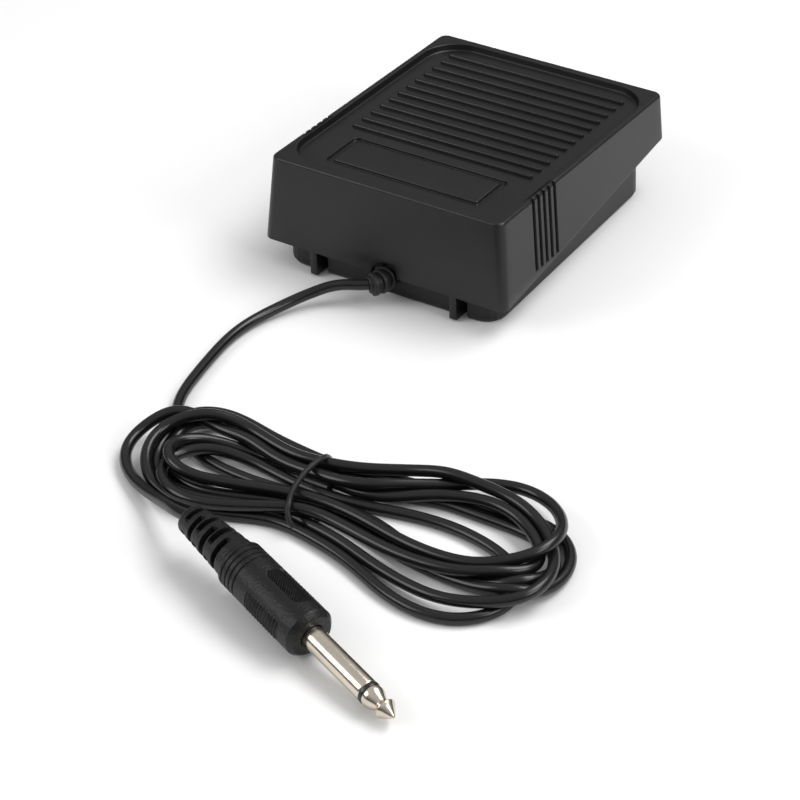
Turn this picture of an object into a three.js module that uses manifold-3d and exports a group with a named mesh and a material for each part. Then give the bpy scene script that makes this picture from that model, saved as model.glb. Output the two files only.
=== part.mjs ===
// Sustain pedal: a box-shaped plastic treadle hinged to a low base tray, with a
// return spring and a snap-action switch inside, a captive cord wound into a
// tied hank, and a 6.35 mm mono jack plug.
// Units are millimetres. +Z is up, +Y points at the player, -Y is the cord end,
// +X is the player's right-hand side seen from behind the cord. The origin is
// the bottom centre of the pedal, on the surface that it stands on.

import * as THREE from "three";
import { mergeVertices } from "three/addons/utils/BufferGeometryUtils.js";
import Module from "manifold-3d";

const wasm = await Module();
wasm.setup();

// ---------------------------------------------------------------- dimensions
const GAP = 0.3; // clearance between touching pieces

// Treadle, in its own tilted frame: z = 0 is the top face.
const TOP_WIDTH = 79;
const TOP_LENGTH = 98;
const TOP_CENTRE = [1.12, 33.8]; // y and z of the middle of the top face
const TILT_DEG = 2.7; // the player's end stands lower than the cord end
const SIDE_DRAFT_DEG = 5;
const END_DRAFT_DEG = 2;
const SKIRT_NEAR = 27.8; // depth of the skirt at the cord end
const SKIRT_FAR = 14.6; // depth of the skirt at the player's end
const WALL = 2.2;
const CORNER_R = 2.8;
const TOP_EDGE = 0.9; // rounding of the top edge
const RECESS = { width: 74.8, length: 92, radius: 12, depth: 2, slope: 0.5 };
const RIB = {
  count: 12,
  pitch: 5.08,
  firstY: -16.8,
  halfLength: 31.3,
  width: 1.7,
  crest: 0.8,
  height: 1.1,
};
const PLATE = { width: 53, length: 17.2, y: -30.8, radius: 2, groove: 1.8, depth: 0.9 };
const GRIP = { count: 5, pitch: 3.05, firstY: -31, width: 1.4, depth: 0.9, length: 22.6 };

// Base tray.
const BASE = { halfWidth: 37, yNear: -47, yFar: 43.8, bottom: 0.4, floor: 2.4, wall: 2, radius: 7 };
const BASE_SIDE_TOP = 17.5;
const BASE_FRONT_TOP = 10.9;

// Hinge, at the bottom of the cord end.
const HINGE = { y: -44.2, z: 4.9, pinR: 1, holeR: 1.25, pinLength: 15, pocket: 6.2 };
const LUG = { x: 24.2, thickness: 2.4 };

// Return spring.
const SPRING = { y: 12, meanR: 6.6, wireR: 0.75, turns: 6.5, bottom: 3.1, top: 25.2 };

// Snap-action switch, upright against a bracket wall, lever along +Y.
const SWITCH = { x: 13.3, thickness: 6.4, y: -27.5, length: 19.8, bottom: 8, height: 10.2 };
const LEVER = { pivotBack: 1, reach: 19, lift: 0.5, riseDeg: 10.6, thickness: 0.5, width: 4.4 };
const PLUNGER = { y: 7.2, width: 3, length: 1.6, above: 1.25, below: 2.4 };

// Rubber feet and travel stops.
const FOOT = { radius: 5, x: 27, yNear: -33, yFar: 34, height: 2.1 };
const STOP = { x: 24, y: 35, radius: 3.4, top: 20.1, pad: 3 };

// Snap hooks of the treadle, and the catches that they pull up against.
const HOOK = { x: 13, y: 37.9, thickness: 1.5, width: 6, bottom: 10.9, top: 13, barb: 1.4, lip: 13.3 };

// Cord, strain relief and clamp.
const CORD_D = 3.3;
const RELIEF = { x: 0.9, z: 7.4, bodyR: 2.6, flangeR: 4.4, wallR: 3.2, flange: 3.4 };
const RELIEF_RINGS = { count: 3, firstY: -49.6, pitch: 2.35, width: 1.4, radius: 3.85, taper: 0.12 };
const RELIEF_BEND = { y: -50.4, radius: 6.5, length: 5.4 }; // the mouth bends the cord towards -X
const CLAMP = { x: 0.9, y: -33, z: 7.4, span: 16, width: 5, thickness: 2.4 };

// Hand-laid route of the lead from the strain relief to the hank.
const LEAD_ROUTE = [
  [-1.56, -55.5, 7.4],
  [-2.35, -56.03, 7.4],
  [-3.5, -56.6, 7.45],
  [-6.9, -57.9, 7.35],
  [-12.1, -60.2, 6],
  [-16.3, -64.1, 4.3],
  [-19.8, -69.5, 2.9],
  [-22.7, -75.5, 2.1],
  [-24.8, -81, 1.8],
  [-25.8, -87.5, 1.7],
  [-25.6, -95.6, 1.7],
  [-24.4, -104.5, 1.7],
  [-23, -113.2, 1.7],
  [-21, -120.6, 1.7],
  [-18.2, -127.4, 1.7],
];

// Outline of the tied hank, seen from above.
const HANK_OUTLINE = [
  [-16.6, -128.4],
  [-6, -123.6],
  [8, -122.6],
  [23, -126.5],
  [42, -123.5],
  [62, -114.5],
  [82, -108.6],
  [96, -111.5],
  [107, -122],
  [114.5, -138],
  [110, -153],
  [101, -168],
  [88, -174],
  [75, -170],
  [60, -161],
  [42, -158.5],
  [27, -160],
  [14, -163],
  [3.5, -167.4],
  [-8, -163.4],
  [-18, -156],
  [-23.2, -145],
  [-21.6, -134.5],
];
const HANK = { bottom: 0.2, top: 9.6 };
const TIE = { x: 38.1, y: -141.6, angle: 18.2, halfLength: 19.6, corner: 2.4, wireR: 0.7, lift: 0.35 };

// The tail climbs from the hank to the plug, whose cord end stands up.
const TAIL_ROUTE = [
  [4.4, -168.9, 4],
  [7.6, -170.4, 6.2],
  [11.4, -172.2, 9.2],
  [15.6, -174, 11.9],
  [20.9, -176.06, 13.05],
];

// Jack plug: s runs along its axis, 0 at the shoulder, positive to the tip.
const PLUG = { shoulder: [72.1, -195.2, 7.2], yaw: -20.5, pitch: -6.4 };
const PLUG_S = { boot: -54, barrel: -31.5, sleeve: 22.7, ring: 24, tip: 33.4 };
const PLUG_R = { cord: 4.2, boot: 5.8, barrelBack: 6.8, barrelFront: 7, sleeve: 3.175 };
const SLOT = { first: -50.6, pitch: 5.85, count: 3, width: 1.7, floor: 3.1 };

// ------------------------------------------------------------------ helpers
const rad = THREE.MathUtils.degToRad;

// A closed geometry with shared vertices and faces pointing out.
function closed(geometry) {
  const bare = geometry.clone();
  bare.deleteAttribute("normal");
  bare.deleteAttribute("uv");
  const merged = mergeVertices(bare, 1e-4);
  const p = merged.getAttribute("position");
  const index = merged.getIndex();
  const a = new THREE.Vector3();
  const b = new THREE.Vector3();
  const c = new THREE.Vector3();
  let volume = 0;
  for (let i = 0; i < index.count; i += 3) {
    a.fromBufferAttribute(p, index.getX(i));
    b.fromBufferAttribute(p, index.getX(i + 1));
    c.fromBufferAttribute(p, index.getX(i + 2));
    volume += a.dot(b.cross(c));
  }
  if (volume < 0) {
    for (let i = 0; i < index.count; i += 3) {
      const first = index.getX(i);
      index.setX(i, index.getX(i + 1));
      index.setX(i + 1, first);
    }
  }
  return merged;
}

// A three.js geometry as a solid that can be joined and cut.
function solid(geometry) {
  const g = closed(geometry);
  const mesh = new wasm.Mesh({
    numProp: 3,
    vertProperties: new Float32Array(g.getAttribute("position").array),
    triVerts: new Uint32Array(g.getIndex().array),
  });
  return new wasm.Manifold(mesh);
}

function geometryOf(manifold) {
  const mesh = manifold.getMesh();
  const g = new THREE.BufferGeometry();
  g.setAttribute("position", new THREE.BufferAttribute(new Float32Array(mesh.vertProperties), 3));
  g.setIndex(new THREE.BufferAttribute(new Uint32Array(mesh.triVerts), 1));
  return g;
}

function join(...solids) {
  return solids.reduce((all, one) => all.add(one));
}

function cut(body, ...tools) {
  return tools.reduce((left, tool) => left.subtract(tool), body);
}

// A closed solid through horizontal outlines of equal point count, low to high.
function loft(sections) {
  const count = sections[0].points.length;
  const positions = [];
  for (const { points, z } of sections) {
    for (const q of points) positions.push(q.x, q.y, z);
  }
  const index = [];
  for (let s = 0; s + 1 < sections.length; s += 1) {
    for (let i = 0; i < count; i += 1) {
      const j = (i + 1) % count;
      const low = s * count;
      const high = low + count;
      index.push(low + i, low + j, high + j, low + i, high + j, high + i);
    }
  }
  const caps = THREE.ShapeUtils.triangulateShape(sections[0].points, []);
  const top = (sections.length - 1) * count;
  for (const [i, j, k] of caps) index.push(i, k, j, top + i, top + j, top + k);
  const g = new THREE.BufferGeometry();
  g.setAttribute("position", new THREE.Float32BufferAttribute(positions, 3));
  g.setIndex(index);
  return g;
}

function roundedRect(width, length, radius, cx = 0, cy = 0, steps = 5) {
  const points = [];
  const corners = [
    [1, 1, 0],
    [-1, 1, 90],
    [-1, -1, 180],
    [1, -1, 270],
  ];
  for (const [sx, sy, start] of corners) {
    for (let i = 0; i <= steps; i += 1) {
      const t = rad(start + (90 * i) / steps);
      const x = cx + sx * (width / 2 - radius) + radius * Math.cos(t);
      const y = cy + sy * (length / 2 - radius) + radius * Math.sin(t);
      points.push(new THREE.Vector2(x, y));
    }
  }
  return points;
}

function slab(points, z0, z1) {
  return loft([
    { points, z: z0 },
    { points, z: z1 },
  ]);
}

function box(x0, x1, y0, y1, z0, z1) {
  const g = new THREE.BoxGeometry(x1 - x0, y1 - y0, z1 - z0);
  return g.translate((x0 + x1) / 2, (y0 + y1) / 2, (z0 + z1) / 2);
}

function rodX(x0, x1, y, z, r, sides = 20) {
  const g = new THREE.CylinderGeometry(r, r, x1 - x0, sides);
  return g.rotateZ(Math.PI / 2).translate((x0 + x1) / 2, y, z);
}

function rodZ(x, y, z0, z1, r, sides = 20) {
  const g = new THREE.CylinderGeometry(r, r, z1 - z0, sides);
  return g.rotateX(Math.PI / 2).translate(x, y, (z0 + z1) / 2);
}

// A turned shape from [radius, distance] pairs along +Y.
function turned(profile, sides = 20) {
  return new THREE.LatheGeometry(profile.map(([r, s]) => new THREE.Vector2(r, s)), sides);
}

// An extrusion in the YZ plane, x0 to x1, of [y, z] points.
function plateX(points, x0, x1) {
  const shape = new THREE.Shape(points.map(([y, z]) => new THREE.Vector2(y, z)));
  const g = new THREE.ExtrudeGeometry(shape, { depth: x1 - x0, bevelEnabled: false });
  return g.rotateX(Math.PI / 2).rotateZ(Math.PI / 2).translate(x0, 0, 0);
}

function circle(radius, sides) {
  const shape = new THREE.Shape();
  for (let i = 0; i < sides; i += 1) {
    const t = (2 * Math.PI * i) / sides;
    const x = radius * Math.cos(t);
    const y = radius * Math.sin(t);
    if (i === 0) shape.moveTo(x, y);
    else shape.lineTo(x, y);
  }
  shape.closePath();
  return shape;
}

function tube(points, radius, steps, sides = 8) {
  const knots = points.map((p) => new THREE.Vector3(...p));
  const extrudePath = new THREE.CatmullRomCurve3(knots, false, "centripetal");
  const options = { steps, bevelEnabled: false, extrudePath };
  return new THREE.ExtrudeGeometry(circle(radius, sides), options);
}

const MATERIALS = {
  shell: { color: 0x1c1c1d, roughness: 0.55, metalness: 0 },
  rubber: { color: 0x141414, roughness: 0.85, metalness: 0 },
  steel: { color: 0xb9bbbd, roughness: 0.3, metalness: 1 },
  nickel: { color: 0xd0c6b4, roughness: 0.2, metalness: 1 },
  brass: { color: 0xc9a95c, roughness: 0.3, metalness: 1 },
  cord: { color: 0x151516, roughness: 0.4, metalness: 0 },
  plug: { color: 0x1f1f20, roughness: 0.6, metalness: 0 },
  insulator: { color: 0x101010, roughness: 0.5, metalness: 0 },
  switchBody: { color: 0x18181a, roughness: 0.5, metalness: 0 },
  plungerRed: { color: 0x9a2018, roughness: 0.45, metalness: 0 },
  leadWhite: { color: 0xd8d6d0, roughness: 0.5, metalness: 0 },
  leadBlack: { color: 0x151515, roughness: 0.5, metalness: 0 },
};

const pedal = new THREE.Group();

function add(name, shape, material) {
  const geometry = shape instanceof wasm.Manifold ? geometryOf(shape) : closed(shape);
  const mesh = new THREE.Mesh(geometry, new THREE.MeshStandardMaterial(MATERIALS[material]));
  mesh.name = name;
  mesh.geometry.computeVertexNormals();
  pedal.add(mesh);
}

// ------------------------------------------------------------------ treadle
const TILT = new THREE.Matrix4()
  .makeRotationX(-rad(TILT_DEG))
  .setPosition(0, TOP_CENTRE[0], TOP_CENTRE[1]);

function tilted(geometry) {
  return solid(geometry.applyMatrix4(TILT));
}

// Height of a level at depth below the tilted top face, at a given y.
function topLevel(y, depth) {
  return TOP_CENTRE[1] - depth - (y - TOP_CENTRE[0]) * Math.tan(rad(TILT_DEG));
}

function treadleSection(depth, inset, radius) {
  const width = TOP_WIDTH + 2 * (depth * Math.tan(rad(SIDE_DRAFT_DEG)) - inset);
  const length = TOP_LENGTH + 2 * (depth * Math.tan(rad(END_DRAFT_DEG)) - inset);
  return { points: roundedRect(width, length, radius), z: -depth };
}

function treadleShell() {
  const deep = SKIRT_NEAR + 1;
  const outer = tilted(
    loft([
      treadleSection(deep, 0, CORNER_R),
      treadleSection(TOP_EDGE, 0, CORNER_R),
      treadleSection(TOP_EDGE * 0.3, TOP_EDGE * 0.25, CORNER_R - 0.25),
      treadleSection(0, TOP_EDGE, CORNER_R - TOP_EDGE),
    ]),
  );
  const inner = tilted(
    loft([treadleSection(deep + 1, WALL, 1), treadleSection(RECESS.depth + WALL, WALL, 1)]),
  );
  const far = TOP_LENGTH;
  const slope = (SKIRT_NEAR - SKIRT_FAR) / TOP_LENGTH;
  const underside = tilted(
    plateX(
      [
        [-far, -SKIRT_NEAR - far],
        [far, -SKIRT_NEAR - far],
        [far, -SKIRT_NEAR + (far + TOP_LENGTH / 2) * slope],
        [-TOP_LENGTH / 2, -SKIRT_NEAR],
        [-far, -SKIRT_NEAR],
      ],
      -far,
      far,
    ),
  );
  return cut(outer, inner, underside);
}

function topRecess() {
  const { width, length, radius, depth, slope } = RECESS;
  const shrink = 2 * slope;
  return tilted(
    loft([
      { points: roundedRect(width - shrink, length - shrink, radius - slope, 0, 0, 8), z: -depth },
      { points: roundedRect(width, length, radius, 0, 0, 8), z: 0 },
      { points: roundedRect(width, length, radius, 0, 0, 8), z: 1 },
    ]),
  );
}

function gripRibs() {
  const ribs = [];
  for (let i = 0; i < RIB.count; i += 1) {
    const y = RIB.firstY + i * RIB.pitch;
    const foot = roundedRect(2 * RIB.halfLength, RIB.width, RIB.width / 2 - 0.01, 0, y, 3);
    const crestLength = 2 * RIB.halfLength - (RIB.width - RIB.crest);
    const crest = roundedRect(crestLength, RIB.crest, RIB.crest / 2 - 0.01, 0, y, 3);
    ribs.push(
      tilted(
        loft([
          { points: foot, z: -RECESS.depth - 0.2 },
          { points: foot, z: -RECESS.depth + 0.4 },
          { points: crest, z: -RECESS.depth + RIB.height },
        ]),
      ),
    );
  }
  return ribs;
}

function plateGroove() {
  const { width, length, y, radius, groove, depth } = PLATE;
  const floor = -RECESS.depth - depth;
  const outer = slab(roundedRect(width, length, radius, 0, y), floor, 1);
  const island = roundedRect(width - 2 * groove, length - 2 * groove, radius - 0.6, 0, y);
  return cut(tilted(outer), tilted(slab(island, floor - 1, 2)));
}

function sideGrooves() {
  const grooves = [];
  const lean = Math.tan(rad(SIDE_DRAFT_DEG));
  for (const side of [-1, 1]) {
    for (let i = 0; i < GRIP.count; i += 1) {
      const y = GRIP.firstY + i * GRIP.pitch;
      const face = side * (TOP_WIDTH / 2 - GRIP.depth);
      const bottom = face + side * GRIP.length * lean;
      const profile = [
        [face - side * lean, 1],
        [face + side * 4, 1],
        [bottom + side * 4, -GRIP.length],
        [bottom, -GRIP.length],
      ];
      const shape = new THREE.Shape(profile.map(([x, z]) => new THREE.Vector2(x, z)));
      const g = new THREE.ExtrudeGeometry(shape, { depth: GRIP.width, bevelEnabled: false });
      grooves.push(tilted(g.rotateX(Math.PI / 2).translate(0, y + GRIP.width / 2, 0)));
    }
  }
  return grooves;
}

// Two lugs hang from the cord-end wall and turn on the hinge pins.
function hingeLug(x) {
  const half = LUG.thickness / 2;
  const profile = [
    [-50.1, 0.9],
    [-49.6, 0.55],
    [HINGE.y - 1, 0.55],
    [HINGE.y + 2.2, 0.8],
    [HINGE.y + 2.6, 7.4],
    [-46.4, 9.6],
    [-48.2, 14],
    [-49.2, 14],
  ];
  const hole = rodX(x - 5, x + 5, HINGE.y, HINGE.z, HINGE.holeR);
  return cut(solid(plateX(profile, x - half, x + half)), solid(hole));
}

// Level of the lever's upper face at a given y, with the treadle up.
function leverTop(y) {
  const run = y - (SWITCH.y + LEVER.pivotBack);
  const under = SWITCH.bottom + SWITCH.height + LEVER.lift + run * Math.tan(rad(LEVER.riseDeg));
  return under + LEVER.thickness;
}

// Cup over the spring, a little back so that it clears the coil when it swings down.
function springCup(roof) {
  const y = SPRING.y - 0.9;
  const bore = SPRING.meanR + SPRING.wireR + 1.25;
  return cut(
    solid(rodZ(0, y, SPRING.top - 4, roof(y + bore), bore + 1.4)),
    solid(rodZ(0, y, SPRING.top - 5, SPRING.top + GAP, bore)),
  );
}

function snapHook(x, roof) {
  const outer = HOOK.y + HOOK.thickness;
  const profile = [
    [HOOK.y, roof(outer)],
    [HOOK.y, HOOK.top],
    [HOOK.y - HOOK.barb, HOOK.top],
    [HOOK.y - HOOK.barb, HOOK.top - 0.8],
    [HOOK.y, HOOK.bottom],
    [outer, HOOK.bottom],
    [outer, roof(outer)],
  ];
  return solid(plateX(profile, x - HOOK.width / 2, x + HOOK.width / 2));
}

// Posts under the top: spring cup, switch actuator, stop bosses and snap hooks.
function treadlePosts() {
  const roof = (y) => topLevel(y, RECESS.depth + WALL / 2);
  const mid = SWITCH.x + SWITCH.thickness / 2;
  const y = SWITCH.y + LEVER.pivotBack + LEVER.reach - 2.5;
  const low = leverTop(y + 1.5) + GAP;
  const actuator = solid(box(mid - 1.5, mid + 1.5, y - 1.5, y + 1.5, low, roof(y + 2)));
  const posts = [springCup(roof), actuator];
  for (const side of [-1, 1]) {
    const stopFace = topLevel(STOP.y, RECESS.depth + WALL) - 0.6;
    posts.push(solid(rodZ(side * STOP.x, STOP.y, stopFace, roof(STOP.y + 4), 4)));
    posts.push(snapHook(side * HOOK.x, roof));
  }
  return posts;
}

function cordNotch() {
  const r = RELIEF_RINGS.radius + 0.9;
  const arch = new THREE.CylinderGeometry(r, r, 8, 20).translate(RELIEF.x, -49, RELIEF.z);
  return join(solid(arch), solid(box(RELIEF.x - r, RELIEF.x + r, -53, -45, 0, RELIEF.z)));
}

function treadle() {
  const shell = cut(treadleShell(), topRecess());
  const textured = cut(join(shell, ...gripRibs()), plateGroove(), ...sideGrooves(), cordNotch());
  return join(textured, ...treadlePosts(), hingeLug(-LUG.x), hingeLug(LUG.x));
}

// --------------------------------------------------------------- base tray
function baseShell() {
  const { halfWidth, yNear, yFar, bottom, floor, wall, radius } = BASE;
  const cy = (yNear + yFar) / 2;
  const length = yFar - yNear;
  const outline = roundedRect(2 * halfWidth, length, radius, 0, cy);
  const foot = roundedRect(2 * halfWidth - 1.2, length - 1.2, radius - 0.6, 0, cy);
  const rim = roundedRect(2 * halfWidth - 0.5, length - 0.5, radius - 0.2, 0, cy);
  const outer = solid(
    loft([
      { points: foot, z: bottom },
      { points: outline, z: bottom + 1 },
      { points: rim, z: BASE_SIDE_TOP },
    ]),
  );
  const cavity = roundedRect(2 * (halfWidth - wall), length - 2 * wall, radius - wall, 0, cy);
  const inner = solid(slab(cavity, bottom + floor, BASE_SIDE_TOP + 5));
  const lowFront = solid(
    plateX(
      [
        [yNear - 2, BASE_FRONT_TOP],
        [yNear + 8, BASE_FRONT_TOP],
        [yNear + 20, BASE_SIDE_TOP + 1],
        [yNear - 2, BASE_SIDE_TOP + 1],
      ],
      -halfWidth - 2,
      halfWidth + 2,
    ),
  );
  return cut(outer, inner, lowFront);
}

// A block in each cord-end corner is slotted for the lug and bored for the pin,
// which goes in from the middle of the tray.
function hingeBlock(side) {
  const inner = LUG.x - HINGE.pinLength / 2 - 1;
  const outer = LUG.x + HINGE.pinLength / 2 + 1.3;
  const [x0, x1] = [side * inner, side * outer].sort((a, b) => a - b);
  const top = HINGE.z + 3.5;
  return solid(box(x0, x1, BASE.yNear + 0.9, HINGE.y + 4.2, BASE.bottom + 1, top));
}

function hingePocket(side) {
  const x = side * LUG.x;
  const half = HINGE.pocket / 2;
  const pocket = box(x - half, x + half, BASE.yNear - 2, HINGE.y + 3.6, -1, BASE_FRONT_TOP + 1);
  const bore = [x - side * HINGE.pinLength, x + side * (HINGE.pinLength / 2 + GAP)];
  const [x0, x1] = bore.sort((a, b) => a - b);
  return join(solid(pocket), solid(rodX(x0, x1, HINGE.y, HINGE.z, HINGE.pinR + GAP)));
}

function catchPost(x, foot) {
  const front = HOOK.y - 3.7;
  const back = HOOK.y - HOOK.barb - GAP;
  const lip = HOOK.y - 0.6;
  const profile = [
    [front, foot],
    [back, foot],
    [back, HOOK.lip],
    [lip, HOOK.lip],
    [lip, HOOK.lip + 0.9],
    [back, HOOK.lip + 2.3],
    [front, HOOK.lip + 2.3],
  ];
  return solid(plateX(profile, x - HOOK.width / 2 - 1, x + HOOK.width / 2 + 1));
}

function basePosts() {
  const floorTop = BASE.bottom + BASE.floor - 0.5;
  const posts = [];
  posts.push(solid(rodZ(0, SPRING.y, floorTop, 8, SPRING.meanR - SPRING.wireR - 0.6)));
  for (const side of [-1, 1]) {
    posts.push(solid(rodZ(side * STOP.x, STOP.y, floorTop, STOP.top - STOP.pad - GAP, 4.4)));
    posts.push(catchPost(side * HOOK.x, floorTop));
    const screwX = clampScrewX(side);
    const post = rodZ(screwX, CLAMP.y, floorTop, CLAMP.z + 0.2, 2.6);
    posts.push(cut(solid(post), solid(rodZ(screwX, CLAMP.y, CLAMP.z - 4.4, CLAMP.z + 1, 1.35))));
  }
  const seat = CLAMP.z - CORD_D / 2 - GAP;
  const { x, y } = CLAMP;
  posts.push(solid(box(x - 2.6, x + 2.6, y - 2, y + 2, floorTop, seat)));
  const bracket = box(
    SWITCH.x - 2.3,
    SWITCH.x - GAP,
    SWITCH.y - 1,
    SWITCH.y + SWITCH.length + 1,
    floorTop,
    SWITCH.bottom + SWITCH.height - 1.5,
  );
  posts.push(solid(bracket));
  return posts;
}

// A raised boss in the cord-end wall holds the strain relief.
function reliefBoss() {
  const r = RELIEF.flangeR + 1.6;
  const y = BASE.yNear + 0.2;
  return solid(box(RELIEF.x - r, RELIEF.x + r, y, y + 1.8, BASE.bottom + 1, RELIEF.z + 4.4));
}

function reliefHole() {
  const g = new THREE.CylinderGeometry(RELIEF.wallR, RELIEF.wallR, 8, 24);
  return solid(g.translate(RELIEF.x, BASE.yNear + 1, RELIEF.z));
}

function switchScrewHoles() {
  return switchScrewPlaces().map(([y, z]) => solid(rodX(SWITCH.x - 4, SWITCH.x + 1, y, z, 1.15, 12)));
}

function footRecess(x, y) {
  return solid(rodZ(x, y, BASE.bottom - 1, FOOT.height + GAP, FOOT.radius + GAP));
}

function footPad(x, y) {
  return solid(rodZ(x, y, BASE.bottom + 0.4, FOOT.height + GAP + 1.4, FOOT.radius + 1.4));
}

function footPlaces() {
  return [
    [-FOOT.x, FOOT.yNear],
    [FOOT.x, FOOT.yNear],
    [-FOOT.x, FOOT.yFar],
    [FOOT.x, FOOT.yFar],
  ];
}

function baseTray() {
  const pads = footPlaces().map(([x, y]) => footPad(x, y));
  const blocks = [-1, 1].map(hingeBlock);
  const full = join(baseShell(), reliefBoss(), ...basePosts(), ...pads, ...blocks);
  const pockets = [-1, 1].map(hingePocket);
  const recesses = footPlaces().map(([x, y]) => footRecess(x, y));
  return cut(full, reliefHole(), ...pockets, ...recesses, ...switchScrewHoles());
}

function addFeet() {
  footPlaces().forEach(([x, y], i) => {
    const profile = [
      [0, 0],
      [FOOT.radius - 0.6, 0],
      [FOOT.radius, 0.5],
      [FOOT.radius, FOOT.height],
      [0, FOOT.height],
    ];
    const foot = turned(profile, 24).rotateX(Math.PI / 2).translate(x, y, 0);
    add(`rubber_foot_${i + 1}`, foot, "rubber");
  });
}

function addStopPads() {
  for (const [name, side] of [["left", -1], ["right", 1]]) {
    const pad = rodZ(side * STOP.x, STOP.y, STOP.top - STOP.pad, STOP.top, STOP.radius);
    add(`stop_pad_${name}`, pad, "rubber");
  }
}

function addHingePins() {
  const half = HINGE.pinLength / 2;
  for (const [name, side] of [["left", -1], ["right", 1]]) {
    const x = side * LUG.x;
    add(`hinge_pin_${name}`, rodX(x - half, x + half, HINGE.y, HINGE.z, HINGE.pinR, 16), "steel");
  }
}

// ------------------------------------------------------------ return spring
class Helix extends THREE.Curve {
  getPoint(t, target = new THREE.Vector3()) {
    const { meanR, wireR, turns, bottom, top, y } = SPRING;
    const angle = 2 * Math.PI * turns * t;
    const closedTurn = 0.75 / turns;
    const u = THREE.MathUtils.clamp((t - closedTurn) / (1 - 2 * closedTurn), 0, 1);
    const inClosed = Math.min(t, closedTurn) + Math.max(t - 1 + closedTurn, 0);
    const ends = (0.9 * wireR * inClosed) / closedTurn;
    const z = bottom + wireR + u * (top - bottom - 3.8 * wireR) + ends;
    return target.set(meanR * Math.cos(angle), y + meanR * Math.sin(angle), z);
  }
}

function returnSpring() {
  const options = { steps: 110, bevelEnabled: false, extrudePath: new Helix() };
  return new THREE.ExtrudeGeometry(circle(SPRING.wireR, 6), options);
}

// ------------------------------------------------------------------- switch
function switchScrewPlaces() {
  const z = SWITCH.bottom + 3;
  return [
    [SWITCH.y + 5.15, z],
    [SWITCH.y + SWITCH.length - 5.15, z],
  ];
}

function switchCase() {
  const { x, thickness, y, length, bottom, height } = SWITCH;
  const far = x + thickness;
  const top = bottom + height;
  const body = solid(box(x, far, y, y + length, bottom, top));
  const screwHoles = switchScrewPlaces().map(([sy, sz]) =>
    solid(rodX(x - 1, far + 1, sy, sz, 1.3, 14)),
  );
  const mid = x + thickness / 2;
  const py = y + PLUNGER.y;
  const well = solid(box(mid - 1.8, mid + 1.8, py - 1.1, py + 1.1, top - 4, top + 1));
  const pivotSlot = solid(box(x + 0.7, far - 0.7, y - 1, y + 2.6, top - 1.8, top + 1));
  return cut(body, ...screwHoles, well, pivotSlot);
}

function switchLever() {
  const top = SWITCH.bottom + SWITCH.height;
  const y0 = SWITCH.y + LEVER.pivotBack;
  const y1 = y0 + LEVER.reach;
  const mid = SWITCH.x + SWITCH.thickness / 2;
  const profile = [
    [y0, top - 1.3],
    [y0 + LEVER.thickness, top - 1.3],
    [y0 + LEVER.thickness, top + LEVER.lift],
    [y1, leverTop(y1) - LEVER.thickness],
    [y1, leverTop(y1)],
    [y0, leverTop(y0)],
  ];
  return plateX(profile, mid - LEVER.width / 2, mid + LEVER.width / 2);
}

function switchPlunger() {
  const mid = SWITCH.x + SWITCH.thickness / 2;
  const y = SWITCH.y + PLUNGER.y;
  const top = SWITCH.bottom + SWITCH.height;
  const half = PLUNGER.width / 2;
  const deep = PLUNGER.length / 2;
  return box(mid - half, mid + half, y - deep, y + deep, top - PLUNGER.below, top + PLUNGER.above);
}

function terminalY(i) {
  return SWITCH.y + 2.4 + i * 7.5;
}

function addSwitch() {
  add("switch_case", switchCase(), "switchBody");
  add("switch_lever", switchLever(), "steel");
  add("switch_plunger", switchPlunger(), "plungerRed");
  const mid = SWITCH.x + SWITCH.thickness / 2;
  for (let i = 0; i < 3; i += 1) {
    const y = terminalY(i);
    const blade = box(mid - 0.3, mid + 0.3, y - 1.2, y + 1.2, SWITCH.bottom - 4.2, SWITCH.bottom - GAP);
    add(`switch_terminal_${i + 1}`, blade, "brass");
  }
  switchScrewPlaces().forEach(([y, z], i) => {
    const x = SWITCH.x + SWITCH.thickness + GAP;
    const head = solid(rodX(x, x + 1.4, y, z, 2, 14));
    const shank = solid(rodX(x - 9.6, x + 0.2, y, z, 0.9, 12));
    add(`switch_screw_${i + 1}`, join(head, shank), "steel");
  });
}

// ------------------------------------------- strain relief, clamp and leads
// Where the relief's axis is, a given distance past the start of its bend.
function reliefPlace(distance) {
  const { y, radius } = RELIEF_BEND;
  const turn = Math.max(distance, 0) / radius;
  const straight = Math.min(distance, 0);
  const px = RELIEF.x - radius * (1 - Math.cos(turn));
  return { x: px, y: y - straight - radius * Math.sin(turn), turn };
}

function strainRelief() {
  const inner = BASE.yNear + BASE.wall;
  const alongY = (r, y0, y1) =>
    solid(new THREE.CylinderGeometry(r, r, y1 - y0, 24).translate(RELIEF.x, (y0 + y1) / 2, RELIEF.z));
  const flange = alongY(RELIEF.flangeR, inner + GAP, inner + RELIEF.flange);
  const collar = alongY(RELIEF.wallR - GAP, BASE.yNear - 0.6, inner + 0.5);
  const path = [];
  for (let i = 0; i <= 10; i += 1) {
    const first = RELIEF_BEND.y - inner;
    const { x, y } = reliefPlace(first + ((RELIEF_BEND.length - first) * i) / 10);
    path.push([x, y, RELIEF.z]);
  }
  const rings = [];
  for (let i = 0; i < RELIEF_RINGS.count; i += 1) {
    const distance = RELIEF_BEND.y - RELIEF_RINGS.firstY + i * RELIEF_RINGS.pitch;
    const { x, y, turn } = reliefPlace(distance);
    const r = RELIEF_RINGS.radius - i * RELIEF_RINGS.taper;
    const disc = new THREE.CylinderGeometry(r, r, RELIEF_RINGS.width, 20);
    rings.push(solid(disc.rotateZ(-turn).translate(x, y, RELIEF.z)));
  }
  return join(flange, collar, solid(tube(path, RELIEF.bodyR, 12, 16)), ...rings);
}

function clampScrewX(side) {
  return CLAMP.x + side * (CLAMP.span / 2 - 2.6);
}

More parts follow.
